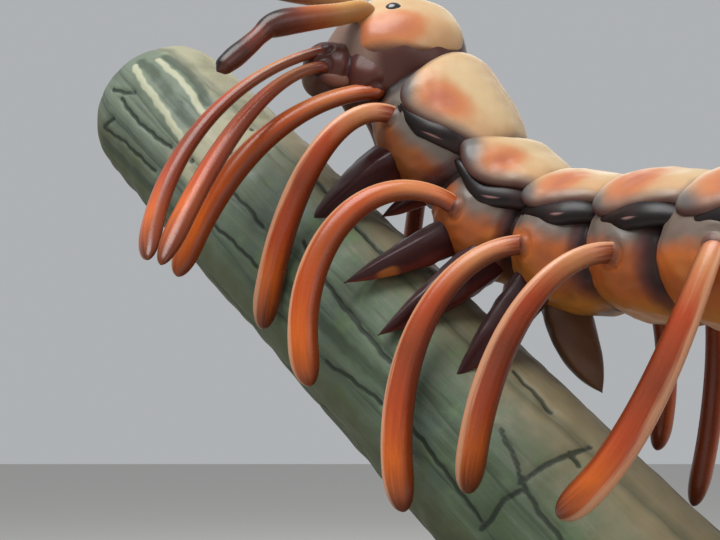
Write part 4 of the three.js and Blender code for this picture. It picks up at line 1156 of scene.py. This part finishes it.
def colour(name, about, code):
    return FloatVectorProperty(name=name, description=about, default=linear(code),
                               size=4, min=0, max=1, subtype="COLOR")


class CentipedeSizes(bpy.types.PropertyGroup):
    body_half_width: length("Body half width", "Half the width of a ring of the body", .44)
    body_half_height: length("Body half height", "Half the height of a ring of the body", .385)
    first_ring: length("First ring", "Length of the first ring", .72)
    ring_length: length("Ring", "Length of the other rings", .574)
    crease_depth: share("Crease", "Depth of a crease, of the section", .19)
    plate_dome: share("Plate dome", "Dome of a plate, of the section", .07)
    leg_half_width: length("Leg half width", "Half the width of a leg", .082)
    trunk_radius: length("Trunk radius", "Radius of the trunk", .59)
    base_thick: length("Base", "Thickness of the base", .12)


class CentipedePaints(bpy.types.PropertyGroup):
    __annotations__ = {key: colour(key.replace("_", " ").capitalize(), *row) for key, row in PAINTS.items()}


class PieceOperator(bpy.types.Operator):
    bl_options = {"REGISTER", "UNDO"}


class CENTIPEDE_OT_skin(PieceOperator):
    """Makes the skin of the body, the neck and the head"""
    bl_idname = "centipede.skin"
    bl_label = "Skin"

    def execute(self, context):
        legs = leg_table()
        flesh = join([body_flesh(legs), neck_flesh(legs)] + head_flesh())
        put_mesh("body_skin", flesh, skin_paint(), "body", "neck", "head", "tail", *TORSO)
        return {"FINISHED"}


class CENTIPEDE_OT_plates(PieceOperator):
    """Makes the back plates, the head's shield and the lobes under the flaps"""
    bl_idname = "centipede.plates"
    bl_label = "Back plates"

    def execute(self, context):
        rows = plate_table()
        plates = [body_plate(*row, seed) for seed, row in enumerate(rows)]
        lobes = [side_lobe(*row, sign) for row in rows[:-1] for sign in (1, -1)]
        paint_job = plate_paint()
        put_mesh("back_plates", join(plates), paint_job, "body", *TORSO, "tail")
        put_mesh("side_lobes", join(lobes), lobe_paint(), "body")
        put_mesh("head_shield", head_shield(), paint_job, "body", "head")
        return {"FINISHED"}


class CENTIPEDE_OT_spines(PieceOperator):
    """Makes the belly spines and the post on the trunk"""
    bl_idname = "centipede.spines"
    bl_label = "Belly spines"

    def execute(self, context):
        paint_job = spine_paint()
        spines = join([spine_body(n) for n in range(len(SPINES))])
        put_mesh("belly_spines", spines, paint_job, "body", "torso_1", "torso_2")
        put_mesh("trunk_post", post_body(), paint_job, "body")
        return {"FINISHED"}


class CENTIPEDE_OT_legs(PieceOperator):
    """Makes the legs"""
    bl_idname = "centipede.legs"
    bl_label = "Legs"

    def execute(self, context):
        paint_job = leg_paint()
        for n, (name, middle, line, size) in enumerate(leg_table()):
            leg = leg_body(middle, line, size, (n * TONE_STEP) % 1)
            put_mesh("horn_" + name, leg, paint_job, "legs", name)
        return {"FINISHED"}


class CENTIPEDE_OT_feelers(PieceOperator):
    """Makes the antennae, the poison claws and the eyes"""
    bl_idname = "centipede.feelers"
    bl_label = "Antennae, claws and eyes"

    def execute(self, context):
        feeler, claw, gloss = feeler_paint(), claw_paint(), eye_gloss()
        for side, sign in (("left", 1), ("right", -1)):
            antenna = horn(ANTENNA[side], ANTENNA_WIDTHS, sign)
            put_mesh(f"feeler_{side}", antenna, feeler, "antennae", f"antenna_{side}")
            put_mesh(f"poison_claw_{side}", horn(CLAW, CLAW_WIDTHS, sign), claw, "claws", f"claw_{side}")
            points = oval((EYE[0], sign * EYE[1], EYE[2]), EYE_HALF)
            ring = np.abs(np.cos(np.linspace(.02, .98, points.shape[0]) * np.pi))[:, None]
            put_mesh(f"eyeball_{side}", tube(points, {"ring": ring}), gloss, "eyes", f"eye_{side}")
        return {"FINISHED"}


class CENTIPEDE_OT_trunk(PieceOperator):
    """Makes the trunk"""
    bl_idname = "centipede.trunk"
    bl_label = "Trunk"

    def execute(self, context):
        put_mesh("painted_trunk", trunk_body(), trunk_paint(), "trunk", "trunk")
        return {"FINISHED"}


class CENTIPEDE_OT_stand(PieceOperator):
    """Paints the base and the rods"""
    bl_idname = "centipede.stand"
    bl_label = "Stand"

    def execute(self, context):
        board = stand_paint("painted_board_base", "stand_grey", "stand_worn")
        steel = stand_paint("painted_steel_rod", "rod_grey", "stand_grey")
        for name, material in (("stand_base", board), ("stand_rod_middle", steel), ("stand_rod_rear", steel)):
            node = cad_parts[name]
            node.data.materials.clear()
            node.data.materials.append(material)
        return {"FINISHED"}


class CENTIPEDE_OT_stage(PieceOperator):
    """Makes the floor, the lights and the camera"""
    bl_idname = "centipede.stage"
    bl_label = "Stage"

    def execute(self, context):
        mesh = bpy.data.meshes.new("studio_floor")
        far = FLOOR_HALF
        mesh.from_pydata([(-far, -far, 0), (far, -far, 0), (far, far, 0), (-far, far, 0)], [], [(0, 1, 2, 3)])
        mesh.materials.append(floor_paint())
        floor = bpy.data.objects.new("studio_floor", mesh)
        context.collection.objects.link(floor)
        world = bpy.data.worlds.new("studio_sky")
        world.use_nodes = True
        context.scene.world = world
        background = world.node_tree.nodes["Background"]
        background.inputs["Color"].default_value = linear(SKY)
        background.inputs["Strength"].default_value = SKY_STRENGTH
        for name, place, aim, size, power in LAMPS:
            light = bpy.data.lights.new(name, "AREA")
            light.size = size
            light.energy = power
            lamp = bpy.data.objects.new(name, light)
            lamp.location = place
            lamp.rotation_euler = (Vector(aim) - Vector(place)).to_track_quat("-Z", "Y").to_euler()
            context.collection.objects.link(lamp)
        camera = bpy.data.objects.new("camera", bpy.data.cameras.new("camera"))
        camera.location = CAMERA["place"]
        camera.rotation_euler = (np.radians(90 + CAMERA["rise"]), 0, 0)
        camera.data.lens = CAMERA["lens"]
        camera.data.sensor_width = CAMERA["sensor"]
        context.collection.objects.link(camera)
        context.scene.camera = camera
        context.scene.view_settings.view_transform = "Standard"
        return {"FINISHED"}


OPERATORS = (
    CENTIPEDE_OT_skin, CENTIPEDE_OT_plates, CENTIPEDE_OT_spines, CENTIPEDE_OT_legs, CENTIPEDE_OT_feelers,
    CENTIPEDE_OT_trunk, CENTIPEDE_OT_stand, CENTIPEDE_OT_stage,
)


class CENTIPEDE_PT_panel(bpy.types.Panel):
    """Lists the sizes, the colours and the pieces of the sculpture"""
    bl_idname = "CENTIPEDE_PT_panel"
    bl_label = "Giant centipede sculpture"
    bl_space_type = "VIEW_3D"
    bl_region_type = "UI"
    bl_category = "Centipede"

    def draw(self, context):
        for group in (context.scene.centipede_sizes, context.scene.centipede_paints):
            for name in type(group).__annotations__:
                self.layout.prop(group, name)
        for operator in OPERATORS:
            self.layout.operator(operator.bl_idname)


def register():
    for kind in (CentipedeSizes, CentipedePaints, *OPERATORS, CENTIPEDE_PT_panel):
        bpy.utils.register_class(kind)
    bpy.types.Scene.centipede_sizes = PointerProperty(type=CentipedeSizes)
    bpy.types.Scene.centipede_paints = PointerProperty(type=CentipedePaints)


def unregister():
    del bpy.types.Scene.centipede_paints
    del bpy.types.Scene.centipede_sizes
    for kind in (CENTIPEDE_PT_panel, *reversed(OPERATORS), CentipedePaints, CentipedeSizes):
        bpy.utils.unregister_class(kind)


def main():
    register()
    for operator in OPERATORS:
        group, name = operator.bl_idname.split(".")
        getattr(getattr(bpy.ops, group), name)()


if __name__ == "__main__":
    main()
